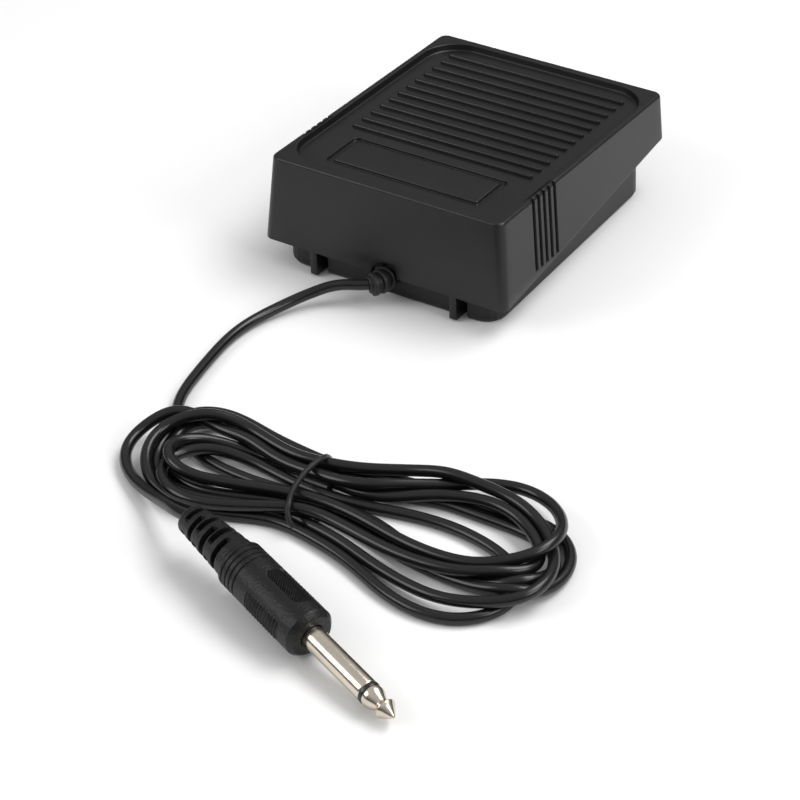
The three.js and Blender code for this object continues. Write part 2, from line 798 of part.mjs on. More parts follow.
function cableClamp() {
  const { x, y, z, span, width, thickness } = CLAMP;
  const under = z + 0.5;
  const top = under + CORD_D / 2 + thickness;
  const bar = box(x - span / 2, x + span / 2, y - width / 2, y + width / 2, under, top);
  const r = CORD_D / 2 + GAP;
  const groove = new THREE.CylinderGeometry(r, r, width + 2, 16).translate(x, y, z);
  const holes = [-1, 1].map((side) => solid(rodZ(clampScrewX(side), y, z - 2, z + 8, 1.5, 14)));
  return cut(solid(bar), solid(groove), ...holes);
}

function addClampScrews() {
  const { y, z, thickness } = CLAMP;
  const seat = z + 0.5 + CORD_D / 2 + thickness + GAP;
  for (const [name, side] of [["left", -1], ["right", 1]]) {
    const x = clampScrewX(side);
    const head = solid(rodZ(x, y, seat, seat + 1.6, 2.3, 16));
    const shank = solid(rodZ(x, y, seat - 8.6, seat + 0.2, 1.05, 12));
    add(`clamp_screw_${name}`, join(head, shank), "steel");
  }
}

function addInnerCable() {
  const start = BASE.yNear + BASE.wall + RELIEF.flange + GAP;
  const end = CLAMP.y + 6;
  const { x, z } = CLAMP;
  const straight = [
    [x, start, z],
    [x, (start + end) / 2, z],
    [x, end, z],
  ];
  add("inner_cable", tube(straight, CORD_D / 2, 6, 12), "cord");
  const mid = SWITCH.x + SWITCH.thickness / 2;
  const low = SWITCH.bottom - 3.2;
  const signal = [
    [x + 0.8, end + GAP, z],
    [x + 2, end + 4, z - 1.8],
    [x + 6, end + 6.6, 4.4],
    [SWITCH.x - 5, -18.5, 3.9],
    [SWITCH.x - 4.2, -8, 3.9],
    [SWITCH.x, -3.8, 3.9],
    [mid + 2.4, -4.4, 4.2],
    [mid + 3, -7.4, 4.5],
    [mid + 1.4, terminalY(2), low],
  ];
  const ground = [
    [x - 0.8, end + GAP, z],
    [x - 1.4, end + 4, z - 2.4],
    [x + 1, end + 9, 4],
    [SWITCH.x - 7.4, -14, 3.9],
    [SWITCH.x - 6.6, -4, 3.9],
    [SWITCH.x, -1, 3.9],
    [mid + 5, -2.4, 3.9],
    [mid + 6.4, -9, 4],
    [mid + 5.6, -18, 4.4],
    [mid + 3.4, -23, 4.7],
    [mid + 1.4, terminalY(0), low],
  ];
  add("lead_wire_signal", tube(signal, 0.6, 34, 6), "leadWhite");
  add("lead_wire_ground", tube(ground, 0.6, 38, 6), "leadBlack");
}

// -------------------------------------------------------------- outer cord
function hank() {
  const curve = new THREE.CatmullRomCurve3(
    HANK_OUTLINE.map(([x, y]) => new THREE.Vector3(x, y, 0)),
    true,
    "centripetal",
  );
  const points = curve.getPoints(56).slice(0, -1).map((p) => new THREE.Vector2(p.x, p.y));
  const half = TIE.wireR + GAP;
  const groove = box(-half, half, -30, 30, -1, TIE.lift + 2 * half);
  return cut(solid(slab(points.reverse(), HANK.bottom, HANK.top)), solid(onTie(groove)));
}

function onTie(geometry) {
  return geometry.rotateZ(rad(TIE.angle)).translate(TIE.x, TIE.y, 0);
}

// The tie is a thin closed loop round the waist of the hank.
function tie() {
  const low = TIE.lift + TIE.wireR;
  const high = HANK.top + GAP + TIE.wireR + 0.1;
  const path = roundedRect(2 * TIE.halfLength, high - low, TIE.corner, 0, (low + high) / 2, 3);
  const knots = path.map((p) => new THREE.Vector3(0, p.x, p.y));
  const extrudePath = new THREE.CatmullRomCurve3(knots, true, "centripetal");
  const options = { steps: 48, bevelEnabled: false, extrudePath };
  return onTie(new THREE.ExtrudeGeometry(circle(TIE.wireR, 6), options));
}

// --------------------------------------------------------------------- plug
// Turned along +Y, then laid along the plug's axis.
function onPlugAxis(geometry) {
  const yaw = rad(PLUG.yaw);
  const pitch = rad(PLUG.pitch);
  const flat = Math.cos(pitch);
  const axis = new THREE.Vector3(Math.cos(yaw) * flat, Math.sin(yaw) * flat, Math.sin(pitch));
  const up = new THREE.Vector3(0, 0, 1);
  const side = new THREE.Vector3().crossVectors(axis, up).normalize();
  const lift = new THREE.Vector3().crossVectors(side, axis);
  const place = new THREE.Matrix4().makeBasis(side, axis, lift).setPosition(...PLUG.shoulder);
  return geometry.applyMatrix4(place);
}

function plugBody() {
  const { boot, barrel } = PLUG_S;
  const profile = [
    [0, boot],
    [PLUG_R.cord - 0.8, boot],
    [PLUG_R.cord, boot + 1.2],
    [PLUG_R.boot, barrel - 0.4],
    [PLUG_R.barrelBack, barrel],
    [PLUG_R.barrelFront, -1.6],
    [PLUG_R.barrelFront - 1.5, 0],
    [0, 0],
  ];
  const body = solid(turned(profile, 32));
  const bore = solid(rodAlong(PLUG_R.sleeve + GAP, -6, 1));
  const slots = [];
  for (let i = 0; i < 2 * SLOT.count; i += 1) {
    const s = SLOT.first + (i * SLOT.pitch) / 2;
    for (const side of [-1, 1]) {
      const lo = side > 0 ? SLOT.floor : -9;
      const slot = box(-9, 9, s - SLOT.width / 2, s + SLOT.width / 2, lo, lo + 9 - SLOT.floor);
      slots.push(solid(slot.rotateY(rad(i % 2 === 0 ? 35 : 125))));
    }
  }
  return cut(body, bore, ...slots);
}

function rodAlong(r, s0, s1, sides = 24) {
  return new THREE.CylinderGeometry(r, r, s1 - s0, sides).translate(0, (s0 + s1) / 2, 0);
}

function addPlug() {
  const { sleeve, ring, tip } = PLUG_S;
  const r = PLUG_R.sleeve;
  add("plug_body", closed(onPlugAxis(geometryOf(plugBody()))), "plug");
  add("plug_sleeve", onPlugAxis(rodAlong(r, -6 + GAP, sleeve, 28)), "nickel");
  add("plug_insulator", onPlugAxis(rodAlong(r, sleeve + GAP / 2, ring, 28)), "insulator");
  const profile = [
    [0, ring + GAP / 2],
    [r - 0.15, ring + GAP / 2],
    [r - 0.1, ring + 1.4],
    [r - 0.6, ring + 2.9],
    [1.85, ring + 4.1],
    [1.85, ring + 4.5],
    [2.9, ring + 5.6],
    [2.85, ring + 5.9],
    [0.35, tip - 0.1],
    [0, tip],
  ];
  add("plug_tip", onPlugAxis(turned(profile, 28)), "nickel");
}

// ----------------------------------------------------------------- assembly
add("treadle", treadle(), "shell");
add("base_tray", baseTray(), "shell");
addHingePins();
add("return_spring", returnSpring(), "steel");
addSwitch();
addStopPads();
addFeet();
add("strain_relief", strainRelief(), "cord");
add("cable_clamp", cableClamp(), "shell");
addClampScrews();
addInnerCable();
add("cord_lead", tube(LEAD_ROUTE, CORD_D / 2, 24), "cord");
add("cord_hank", hank(), "cord");
add("cord_tie", tie(), "cord");
add("cord_tail", tube(TAIL_ROUTE, CORD_D / 2, 5), "cord");
addPlug();

export default pedal;
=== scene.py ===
import math

import bmesh
import bpy
import numpy as np
from mathutils import Matrix, Vector
from mathutils.geometry import tessellate_polygon


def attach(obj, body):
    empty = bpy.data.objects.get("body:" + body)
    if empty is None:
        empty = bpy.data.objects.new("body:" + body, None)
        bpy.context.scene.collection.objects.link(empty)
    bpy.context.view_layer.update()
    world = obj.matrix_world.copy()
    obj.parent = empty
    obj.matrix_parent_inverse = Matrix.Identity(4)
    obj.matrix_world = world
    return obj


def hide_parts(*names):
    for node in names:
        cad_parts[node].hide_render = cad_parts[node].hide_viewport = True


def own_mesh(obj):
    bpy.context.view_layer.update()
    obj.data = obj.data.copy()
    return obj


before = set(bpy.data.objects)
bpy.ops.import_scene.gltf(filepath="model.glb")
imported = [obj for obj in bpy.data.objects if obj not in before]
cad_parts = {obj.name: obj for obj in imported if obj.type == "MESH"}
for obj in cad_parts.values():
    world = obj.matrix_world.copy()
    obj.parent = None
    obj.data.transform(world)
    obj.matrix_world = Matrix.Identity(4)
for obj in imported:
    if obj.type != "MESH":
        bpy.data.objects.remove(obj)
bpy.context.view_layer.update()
MM = 0.001
rad = math.radians

# ------------------------------------------------------------------ camera
AZ, EL, ROLL = rad(33.18), rad(35.38), rad(-1.78)
CAMERA_AT = Vector((376.64, -618.31, 447.36))  # millimetres
back = Vector((math.sin(AZ) * math.cos(EL), -math.cos(AZ) * math.cos(EL), math.sin(EL)))
flat_right = Vector((math.cos(AZ), math.sin(AZ), 0))
flat_up = back.cross(flat_right)
right = math.cos(ROLL) * flat_right + math.sin(ROLL) * flat_up
up = back.cross(right)
camera = bpy.data.objects.new("camera", bpy.data.cameras.new("camera"))
bpy.context.scene.collection.objects.link(camera)
turn = Matrix((right, up, back)).transposed().to_4x4()
camera.matrix_world = Matrix.Translation(CAMERA_AT * MM) @ turn
camera.data.lens = 124.4
camera.data.sensor_width = 36
camera.data.clip_start = 0.01
camera.data.clip_end = 20
bpy.context.scene.camera = camera


# --------------------------------------------------------------- materials
def nodes_of(name):
    """A new material, its node tree and its main shader."""
    mat = bpy.data.materials.new(name)
    mat.use_nodes = True
    tree = mat.node_tree
    return mat, tree, tree.nodes["Principled BSDF"]


def noise(tree, scale, detail=4, rough=0.6, stretch=(1, 1, 1)):
    coord = tree.nodes.new("ShaderNodeTexCoord")
    mapping = tree.nodes.new("ShaderNodeMapping")
    mapping.inputs["Scale"].default_value = stretch
    tex = tree.nodes.new("ShaderNodeTexNoise")
    tex.inputs["Scale"].default_value = scale
    tex.inputs["Detail"].default_value = detail
    tex.inputs["Roughness"].default_value = rough
    tree.links.new(coord.outputs["Object"], mapping.inputs["Vector"])
    tree.links.new(mapping.outputs["Vector"], tex.inputs["Vector"])
    return tex


def ramp(tree, source, stops):
    r = tree.nodes.new("ShaderNodeValToRGB")
    r.color_ramp.elements[0].position = stops[0][0]
    r.color_ramp.elements[0].color = stops[0][1]
    r.color_ramp.elements[1].position = stops[-1][0]
    r.color_ramp.elements[1].color = stops[-1][1]
    tree.links.new(source.outputs[0], r.inputs["Fac"])
    return r


def spread(tree, source, low, high):
    m = tree.nodes.new("ShaderNodeMapRange")
    m.inputs["From Min"].default_value = 0.3
    m.inputs["From Max"].default_value = 0.7
    m.inputs["To Min"].default_value = low
    m.inputs["To Max"].default_value = high
    tree.links.new(source.outputs[0], m.inputs["Value"])
    return m


def bump(tree, source, strength, distance, under=None):
    b = tree.nodes.new("ShaderNodeBump")
    b.inputs["Strength"].default_value = strength
    b.inputs["Distance"].default_value = distance
    tree.links.new(source.outputs[0], b.inputs["Height"])
    if under is not None:
        tree.links.new(under.outputs["Normal"], b.inputs["Normal"])
    return b


def grey(v, tint=(1, 1, 1)):
    return (v * tint[0], v * tint[1], v * tint[2], 1)


def plastic(name, dark, light, rough, grain, grain_depth, tint=(1, 1, 1), specular=0.5, coat=0.0):
    """A moulded plastic: fine grain, a soft mottle in gloss and tone, a soft low waviness in the surface."""
    mat, tree, bsdf = nodes_of(name)
    tone = noise(tree, 90, 6, 0.65)
    fine = noise(tree, grain, 3, 0.5)
    wide = noise(tree, 18, 3, 0.5)
    colour = ramp(tree, tone, [(0.3, grey(dark, tint)), (0.7, grey(light, tint))])
    tree.links.new(colour.outputs["Color"], bsdf.inputs["Base Color"])
    gloss = spread(tree, wide, rough[0], rough[1])
    tree.links.new(gloss.outputs["Result"], bsdf.inputs["Roughness"])
    soft = bump(tree, wide, 0.25, 0.00006)
    texture = bump(tree, fine, 1.0, grain_depth, soft)
    tree.links.new(texture.outputs["Normal"], bsdf.inputs["Normal"])
    bsdf.inputs["Specular IOR Level"].default_value = specular
    if coat:
        bsdf.inputs["Coat Weight"].default_value = coat
        bsdf.inputs["Coat Roughness"].default_value = 0.18
    return mat


def metal(name, dark, light, rough, tint=(1, 1, 1), stretch=(1, 1, 1), lines=2600):
    """A turned or drawn metal: a fine hairline bump from noise, drawn out along an axis when a stretch is
    given.
    """
    mat, tree, bsdf = nodes_of(name)
    tone = noise(tree, 140, 4, 0.6)
    hair = noise(tree, lines, 2, 0.5, stretch)
    colour = ramp(tree, tone, [(0.3, grey(dark, tint)), (0.7, grey(light, tint))])
    tree.links.new(colour.outputs["Color"], bsdf.inputs["Base Color"])
    gloss = spread(tree, tone, rough[0], rough[1])
    tree.links.new(gloss.outputs["Result"], bsdf.inputs["Roughness"])
    lined = bump(tree, hair, 0.15, 0.000003)
    tree.links.new(lined.outputs["Normal"], bsdf.inputs["Normal"])
    bsdf.inputs["Metallic"].default_value = 1
    return mat


SHELL = plastic("moulded_black", 0.0065, 0.0095, (0.3, 0.37), 3600, 0.00003, (1, 1, 1.02), 0.36)
BASE = plastic("moulded_base", 0.005, 0.008, (0.38, 0.46), 3600, 0.00003, (1, 1, 1.02), 0.36)
CORD = plastic("cord_pvc", 0.006, 0.009, (0.2, 0.26), 1500, 0.000012, (1, 1, 1.01), 0.4)
RELIEF = plastic("relief_pvc", 0.008, 0.011, (0.42, 0.5), 2600, 0.00003, (1, 1, 1), 0.4)
PLUG = plastic("plug_pvc", 0.004, 0.007, (0.36, 0.44), 1500, 0.0002, (1, 1, 1.01), 0.32)
RUBBER = plastic("rubber", 0.018, 0.026, (0.7, 0.82), 2200, 0.00004, (1, 1, 1), 0.35)
SWITCH = plastic("switch_plastic", 0.03, 0.04, (0.35, 0.42), 2600, 0.00001)
PLUNGER = plastic("plunger_plastic", 0.5, 0.58, (0.3, 0.4), 2600, 0.00001, (0.62, 0.05, 0.03))
RING = plastic("ring_plastic", 0.012, 0.016, (0.25, 0.32), 2600, 0.00001)
WHITE = plastic("wire_white", 0.62, 0.72, (0.35, 0.45), 2600, 0.00001, (1, 0.98, 0.94))
BLACK = plastic("wire_black", 0.014, 0.02, (0.3, 0.4), 2600, 0.00001)
NICKEL = metal("nickel", 0.6, 0.7, (0.16, 0.22), (1.0, 0.9, 0.76))
STEEL = metal("steel", 0.5, 0.58, (0.24, 0.34), (1, 1, 1.02))
BRASS = metal("brass", 0.75, 0.85, (0.22, 0.32), (1, 0.76, 0.42))
CAD_LOOKS = {
    "base_tray": BASE, "cable_clamp": BASE, "inner_cable": CORD, "switch_case": SWITCH,
    "switch_plunger": PLUNGER, "switch_lever": STEEL, "return_spring": STEEL,
    "hinge_pin_left": STEEL, "hinge_pin_right": STEEL, "switch_screw_1": STEEL,
    "switch_screw_2": STEEL, "clamp_screw_left": STEEL, "clamp_screw_right": STEEL,
    "switch_terminal_1": BRASS, "switch_terminal_2": BRASS, "switch_terminal_3": BRASS,
    "stop_pad_left": RUBBER, "stop_pad_right": RUBBER, "lead_wire_signal": WHITE,
    "lead_wire_ground": BLACK, "rubber_foot_1": RUBBER, "rubber_foot_2": RUBBER,
    "rubber_foot_3": RUBBER, "rubber_foot_4": RUBBER,
}
for node, look in CAD_LOOKS.items():
    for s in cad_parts[node].material_slots:
        s.material = look


# ----------------------------------------------------------------- helpers
def link(obj, material, body, slot, *nodes):
    """Puts a piece in the scene with its material and its body, and hides the nodes it replaces. The slot
    argument is not used.
    """
    bpy.context.scene.collection.objects.link(obj)
    obj.data.materials.append(material)
    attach(obj, body)
    if nodes:
        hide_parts(*nodes)
    return obj


def made(name, verts, faces, sharp=34):
    """Mesh object from millimetre vertices; edges turned more than sharp stay crisp."""
    mesh = bpy.data.meshes.new(name)
    mesh.from_pydata([tuple(c * MM for c in v) for v in verts], [], faces)
    mesh.validate()
    bm = bmesh.new()
    bm.from_mesh(mesh)
    bmesh.ops.remove_doubles(bm, verts=bm.verts, dist=2e-7)
    bmesh.ops.recalc_face_normals(bm, faces=bm.faces)
    bm.to_mesh(mesh)
    bm.free()
    mesh.polygons.foreach_set("use_smooth", [True] * len(mesh.polygons))
    mesh.set_sharp_from_angle(angle=rad(sharp))
    return bpy.data.objects.new(name, mesh)


def merged(parts):
    """Several closed shapes in one mesh, each a (verts, faces) pair."""
    verts, faces = [], []
    for v, f in parts:
        base = len(verts)
        verts.extend(v)
        faces.extend(tuple(i + base for i in face) for face in f)
    return verts, faces


def rings(loops, cap_first=True, cap_last=True):
    """Quads between successive rings of equal count."""
    n = len(loops[0])
    verts = [p for loop in loops for p in loop]
    faces = []
    for k in range(len(loops) - 1):
        for i in range(n):
            j = (i + 1) % n
            faces.append((k * n + i, k * n + j, (k + 1) * n + j, (k + 1) * n + i))
    if cap_first:
        faces.append(tuple(range(n - 1, -1, -1)))
    if cap_last:
        top = (len(loops) - 1) * n
        faces.append(tuple(range(top, top + n)))
    return verts, faces


def rounded(w, l, r, z, cx=0.0, cy=0.0, steps=10):
    pts = []
    for sx, sy, a0 in ((1, 1, 0), (-1, 1, 90), (-1, -1, 180), (1, -1, 270)):
        for i in range(steps + 1):
            a = rad(a0 + 90 * i / steps)
            pts.append((cx + sx * (w / 2 - r) + r * math.cos(a),
                        cy + sy * (l / 2 - r) + r * math.sin(a), z))
    return pts


def flat_face(outer, holes):
    """A flat face between an outer loop and holes, all at one height."""
    loops = [outer] + holes
    tris = tessellate_polygon([[Vector(p) for p in loop] for loop in loops])
    return [p for loop in loops for p in loop], [tuple(t) for t in tris]


def box_part(x0, x1, y0, y1, z0, z1, edge=0.25):
    w, l = x1 - x0, y1 - y0
    cx, cy = (x0 + x1) / 2, (y0 + y1) / 2
    return rings([
        rounded(w - 2 * edge, l - 2 * edge, edge, z0, cx, cy, 3),
        rounded(w, l, 2 * edge, z0 + edge, cx, cy, 3),
        rounded(w, l, 2 * edge, z1 - edge, cx, cy, 3),
        rounded(w - 2 * edge, l - 2 * edge, edge, z1, cx, cy, 3),
    ])


def turned_part(profile, x, y, sides=48):
    """A turned part about a vertical axis from (radius, z) pairs."""
    loops = []
    for r, z in profile:
        loops.append([(x + r * math.cos(2 * math.pi * i / sides),
                       y + r * math.sin(2 * math.pi * i / sides), z) for i in range(sides)])
    return rings(loops)


def prism_x(profile, x0, x1, edge=0.15):
    cy = sum(p[0] for p in profile) / len(profile)
    cz = sum(p[1] for p in profile) / len(profile)
    small = []
    for y, z in profile:
        d = math.hypot(y - cy, z - cz)
        k = max(0.0, 1 - edge / d)
        small.append((cy + (y - cy) * k, cz + (z - cz) * k))
    loops = [[(x0, y, z) for y, z in small], [(x0 + edge, y, z) for y, z in profile],
             [(x1 - edge, y, z) for y, z in profile], [(x1, y, z) for y, z in small]]
    return rings(loops)


# -------------------------------------------------------------------- cord
# Way points of the cord's centre line, strain relief to plug, in millimetres. Each was placed on its strand,
# with a guessed height, and the functions below settle the strands on each other.
CORD_WAY = [
    (0.9, -48.5, 7.4), (0.9, -50.4, 7.4), (0.6, -52.2, 7.4), (-0.3, -54.2, 7.4),
    (-1.4, -55.3, 7.4), (-2.4, -56, 7.4), (-3.5, -56.6, 7.4), (-6.9, -57.9, 7.4),
    (-12.1, -60.2, 6), (-16.3, -64.1, 4.3), (-19.8, -69.5, 2.9), (-22.7, -75.5, 2),
    (-24.8, -81, 1.8), (-25.8, -87.5, 1.6), (-25.6, -95.6, 1.6), (-24.4, -104.5, 1.6),
    (-23, -113.2, 1.6), (-21.3, -119.8, 1.6), (-18.2, -127.4, 1.6), (-7.6, -137.4, 1.6),
    (-2.2, -140.7, 1.7), (3.1, -142.9, 1.6), (9.4, -143.9, 1.6), (17.3, -144.5, 1.7),
    (23.7, -144.4, 1.6), (29.4, -143.6, 1.6), (35, -143.4, 1.6), (41.3, -143.3, 1.7),
    (47.3, -142.8, 1.6), (52.6, -142.7, 1.6), (58.9, -143.9, 1.6), (66.8, -146.6, 1.6),
    (74.6, -149.3, 1.7), (81.6, -150.8, 1.6), (87.9, -151.4, 1.6), (93.7, -151.1, 1.9),
    (99.9, -151.6, 3.4), (104.6, -151.6, 4.9), (106.9, -148.1, 3.9), (107.7, -143.3, 2.4),
    (107.8, -139.3, 1.6), (107.3, -135.8, 1.7), (104.8, -132.5, 1.6), (101, -130.5, 1.6),
    (95.5, -128.8, 1.6), (90.5, -127.9, 1.6), (85.6, -127.3, 1.6), (79.6, -127.4, 1.6),
    (73.5, -127.5, 1.6), (67.4, -127.5, 1.6), (60.7, -129.4, 1.6), (53.4, -131.2, 1.7),
    (45.2, -131.3, 1.6), (38, -130.9, 1.6), (31.9, -130.6, 1.6), (25.7, -130, 1.6),
    (19.2, -129.6, 1.6), (12, -128.7, 1.6), (4.4, -127.3, 1.6), (-2.8, -126.6, 1.6),
    (-8.4, -128.2, 1.6), (-9.6, -133.5, 3.1), (-8.2, -140.8, 4.9), (-8.4, -145.4, 3.7),
    (-8.1, -148.4, 1.6), (-4.6, -152.1, 1.6), (-0.4, -154.3, 1.6), (5, -155.3, 1.6),
    (12.1, -154.7, 1.6), (20.3, -152.5, 1.6), (26.5, -149.8, 1.6), (32.1, -147.6, 1.6),
    (37.4, -147, 1.6), (43.7, -146.9, 1.6), (50.3, -147.4, 1.6), (57.4, -148.7, 1.6),
    (64.6, -150.3, 1.6), (71.7, -151.9, 1.6), (79.6, -152.5, 1.6), (87.4, -152.9, 2.1),
    (94.6, -152.6, 2.1), (101, -153.4, 3.9), (105.4, -153.4, 4.9), (108, -150.5, 4.1),
    (109.4, -145.2, 2.2), (110.3, -140.2, 1.7), (110.1, -135.1, 1.6), (108.1, -130.1, 1.6),
    (104.6, -125.9, 1.6), (100.8, -123.9, 2.6), (97, -123.6, 3.6), (92.4, -123.4, 3.6),
    (88.2, -123.9, 3.6), (84.1, -124.7, 3.6), (77.9, -124.6, 3.1), (71.4, -123.9, 2.1),
    (64.9, -123.4, 1.6), (56.1, -124.5, 1.6), (47.5, -125.9, 1.7), (39.1, -127.7, 1.6),
    (31.3, -128.1, 1.6), (24.1, -127, 1.6), (17.3, -126.7, 1.6), (8.4, -124.9, 1.6),
    (0.2, -123.7, 1.6), (-5.5, -124.2, 1.9), (-9.6, -126.9, 2.4), (-11, -132.4, 3.7),
    (-10.2, -140.4, 4.9), (-9.9, -145.7, 3.3), (-8.7, -149.8, 1.6), (-5.3, -153.5, 1.6),
    (-0.8, -156.1, 1.6), (4.8, -157.4, 1.6), (12, -156.8, 1.6), (20.1, -154.6, 1.6),
    (27.1, -152, 1.6), (33.6, -150.8, 1.6), (42.2, -154.9, 4.1), (47.9, -155.4, 4.1),
    (55.2, -157.2, 3.9), (62.8, -159.4, 3.9), (71.9, -161.7, 3.9), (80.3, -163.2, 3.9),
    (88.2, -163.9, 4.4), (94.9, -162.8, 4.4), (100.7, -160.3, 4.6), (105.5, -157.6, 5.7),
    (109.1, -154.9, 7.2), (110.2, -149.8, 6.8), (110.1, -144.6, 6.3), (108.5, -139.6, 5.4),
    (106.2, -135.5, 4.9), (103, -132.1, 4.9), (99.8, -129.5, 5.4), (96.2, -126.9, 5.9),
    (92.1, -124.5, 6.3), (87.9, -122.9, 6.9), (83.7, -122.4, 7.5), (79.1, -122.4, 7.9),
    (73.8, -122.7, 7.9), (67.9, -123.2, 7.5), (60.4, -123.7, 6.1), (53.3, -124.9, 4.9),
    (47.2, -127.7, 4.9), (40.7, -130, 4.9), (34.5, -131.3, 4.9), (28.7, -132.3, 4.9),
    (23.1, -132.7, 4.9), (15.6, -131.2, 4.9), (8.5, -130.4, 5.5), (2.9, -130.8, 6.9),
    (-1.5, -132.5, 8), (-5.1, -134.5, 8.5), (-8.3, -137, 8.5), (-10.6, -140.4, 8),
    (-11.8, -144.5, 6.9), (-11.4, -149, 5.9), (-9.5, -153.2, 4.9), (-6.8, -156.6, 4.1),
    (-4.2, -158.6, 2.6), (-0.5, -160, 1.7), (4.6, -161.6, 1.6), (10.3, -162.3, 1.6),
    (16.9, -161.5, 1.6), (23.4, -159.2, 1.6), (29.6, -156.6, 1.6), (35.8, -155, 1.6),
    (42.2, -155.6, 1.6), (48.6, -156.8, 1.6), (55.4, -158.6, 1.6), (62.4, -161.2, 1.6),
    (69.6, -164.4, 1.6), (76.6, -166.9, 1.6), (83.3, -168, 1.6), (89.7, -167.9, 1.6),
    (95.4, -166.1, 1.6), (99.9, -162.5, 1.6), (102.5, -157.6, 1.6), (103.4, -152.1, 1.6),
    (102.5, -147, 1.6), (99.9, -143, 1.6), (95.8, -140.2, 1.6), (91, -138, 1.9),
    (84.9, -136.3, 1.9), (78.3, -135.3, 1.9), (70.6, -135.4, 1.9), (62, -136.4, 1.9),
    (53.8, -138.3, 1.9), (45.1, -139.5, 1.9), (37.6, -140.1, 2.1), (31.4, -140.4, 2.1),
    (24.4, -139.6, 2.1), (16.9, -139, 2.7), (10.7, -139.5, 3.6), (5.5, -140.4, 4.3),
    (2.1, -142.6, 5.1), (-1.3, -144.8, 5.1), (-3.8, -148.3, 4.7), (-4.5, -152.5, 4.3),
    (-3.1, -156.4, 4.3), (0.1, -159.6, 4.3), (4.5, -162, 4.5), (10.1, -163.4, 4.9),
    (16.1, -162.3, 4.9), (22.5, -159.9, 4.9), (29.2, -156.7, 4.9), (35.4, -154.1, 4.9),
    (39.7, -152.5, 4.9), (45.7, -152, 4.9), (52.2, -152.4, 4.9), (58.8, -153.1, 4.9),
    (65.6, -154.2, 4.9), (73.4, -154.4, 4.4), (80.8, -154.3, 4.4), (87.7, -153.4, 4.4),
    (94, -151.6, 4.6), (99.8, -148.9, 4.9), (103.2, -145.1, 4.5), (104.9, -141, 4.1),
    (104.4, -137, 3.9), (101.4, -132.4, 3.2), (97.7, -129, 3.2), (93.8, -126.9, 4.2),
    (89, -124.8, 4.9), (84.1, -123.7, 4.9), (79.2, -124.1, 4.9), (72.8, -125.3, 4.1),
    (66.5, -127, 3.3), (60, -130.7, 3.9), (54.3, -134.5, 4.9), (47.5, -136.5, 4.9),
    (40.1, -135.9, 3.7), (33.7, -134.2, 1.6), (28.5, -134.6, 1.6), (22.9, -135, 1.6),
    (15.9, -134.4, 1.7), (10, -135.2, 2.6), (6, -137.3, 4.9), (2.5, -140.6, 7),
    (-0.8, -142.9, 7.8), (-4, -145.4, 8), (-6.1, -148.5, 8), (-5.7, -152.2, 8),
    (-2.5, -155.2, 7.8), (1.8, -156.2, 7.2), (6.7, -155.8, 6.5), (12.1, -154.3, 5.7),
    (18.5, -151.9, 4.9), (25.2, -150, 4.9), (31.2, -148, 4.9), (36.1, -147.2, 4.9),
    (42, -146.5, 4.9), (48.2, -146.4, 4.9), (54.9, -147.1, 4.9), (61.9, -148.4, 4.9),
    (68.9, -149.7, 4.9), (76.8, -150.3, 4.9), (84.4, -150.3, 5.2), (91.3, -149.4, 5.7),
    (97.4, -147.3, 6.4), (102, -144.2, 7.3), (105, -140.1, 8.1), (105.8, -135, 8.3),
    (104.4, -128.6, 7.3), (101.2, -122.9, 6.5), (96.7, -118.8, 5.9), (91.7, -116.4, 5.5),
    (86.2, -115.2, 4.9), (81, -115.7, 4.6), (76.3, -117.7, 4.6), (71.9, -120.7, 4.7),
    (67.7, -123.9, 4.9), (62.6, -127.2, 4.9), (57.5, -131.5, 5.8), (52.4, -135.7, 6.9),
    (45.8, -137.7, 6.7), (38.6, -137.5, 5.5), (32.1, -137.3, 4.9), (26.4, -137.5, 4.9),
    (19.2, -136.5, 4.9), (11.4, -134.7, 4.9), (4.8, -133.8, 4.9), (-1.1, -133.5, 4.9),
    (-6, -133.6, 4.9), (-10.5, -134.9, 4.9), (-14.8, -137, 4.5), (-17.9, -140.7, 3.6),
    (-19.3, -145.3, 2.7), (-18.4, -150.8, 2.1), (-15.4, -155.5, 1.9), (-10.5, -159.6, 1.9),
    (-3.8, -163.6, 3.1), (2.8, -167.1, 5.1), (9.1, -170.2, 7.2), (13.6, -173.2, 9.7),
    (17.6, -174.8, 11.4), (21.8, -176.4, 11.8), (25.6, -177.8, 11.8),
]
TIE_POINTS = [
    (32.56, -127.71, 3.4), (33.26, -129.83, 5.6), (33.93, -132.2, 7.2), (34, -135.16, 7.9),
    (33.9, -138.36, 8.1), (34.09, -141.98, 8.2), (34.89, -146.49, 8.3), (36.07, -150.83, 8.3),
    (37.64, -154.45, 8), (38.21, -155.97, 6.6), (39.18, -156.91, 4.8), (40.18, -156.89, 3.2),
    (41.31, -156.12, 1.7), (42.35, -154.94, 0.98),
]
CORD_R = 1.65
TIE_R = 0.8
LAY_STEP = 2.2  # spacing of the points while the strands are laid
FINE_STEP = 1.0  # spacing while the laid path is smoothed
CURVE_STEP = 1.35  # spacing on the finished curve
REACH = 7  # strands nearer than this are tested against each other
HELD_LEAD, HELD_TAIL = 33, 4  # points at the two ends that stay where they were placed


def smooth_path(points, parts, closed=False):
    """A Catmull-Rom curve through the points."""
    out = []
    n = len(points)
    last = n if closed else n - 1
    for i in range(last):
        a = Vector(points[(i - 1) % n] if closed or i else points[0])
        b, c = Vector(points[i]), Vector(points[(i + 1) % n])
        d = Vector(points[(i + 2) % n] if closed or i + 2 < n else points[-1])
        for k in range(parts):
            t = k / parts
            out.append(0.5 * (2 * b + (c - a) * t + (2 * a - 5 * b + 4 * c - d) * t * t
                              + (3 * b - a - 3 * c + d) * t ** 3))
    if not closed:
        out.append(Vector(points[-1]))
    return out


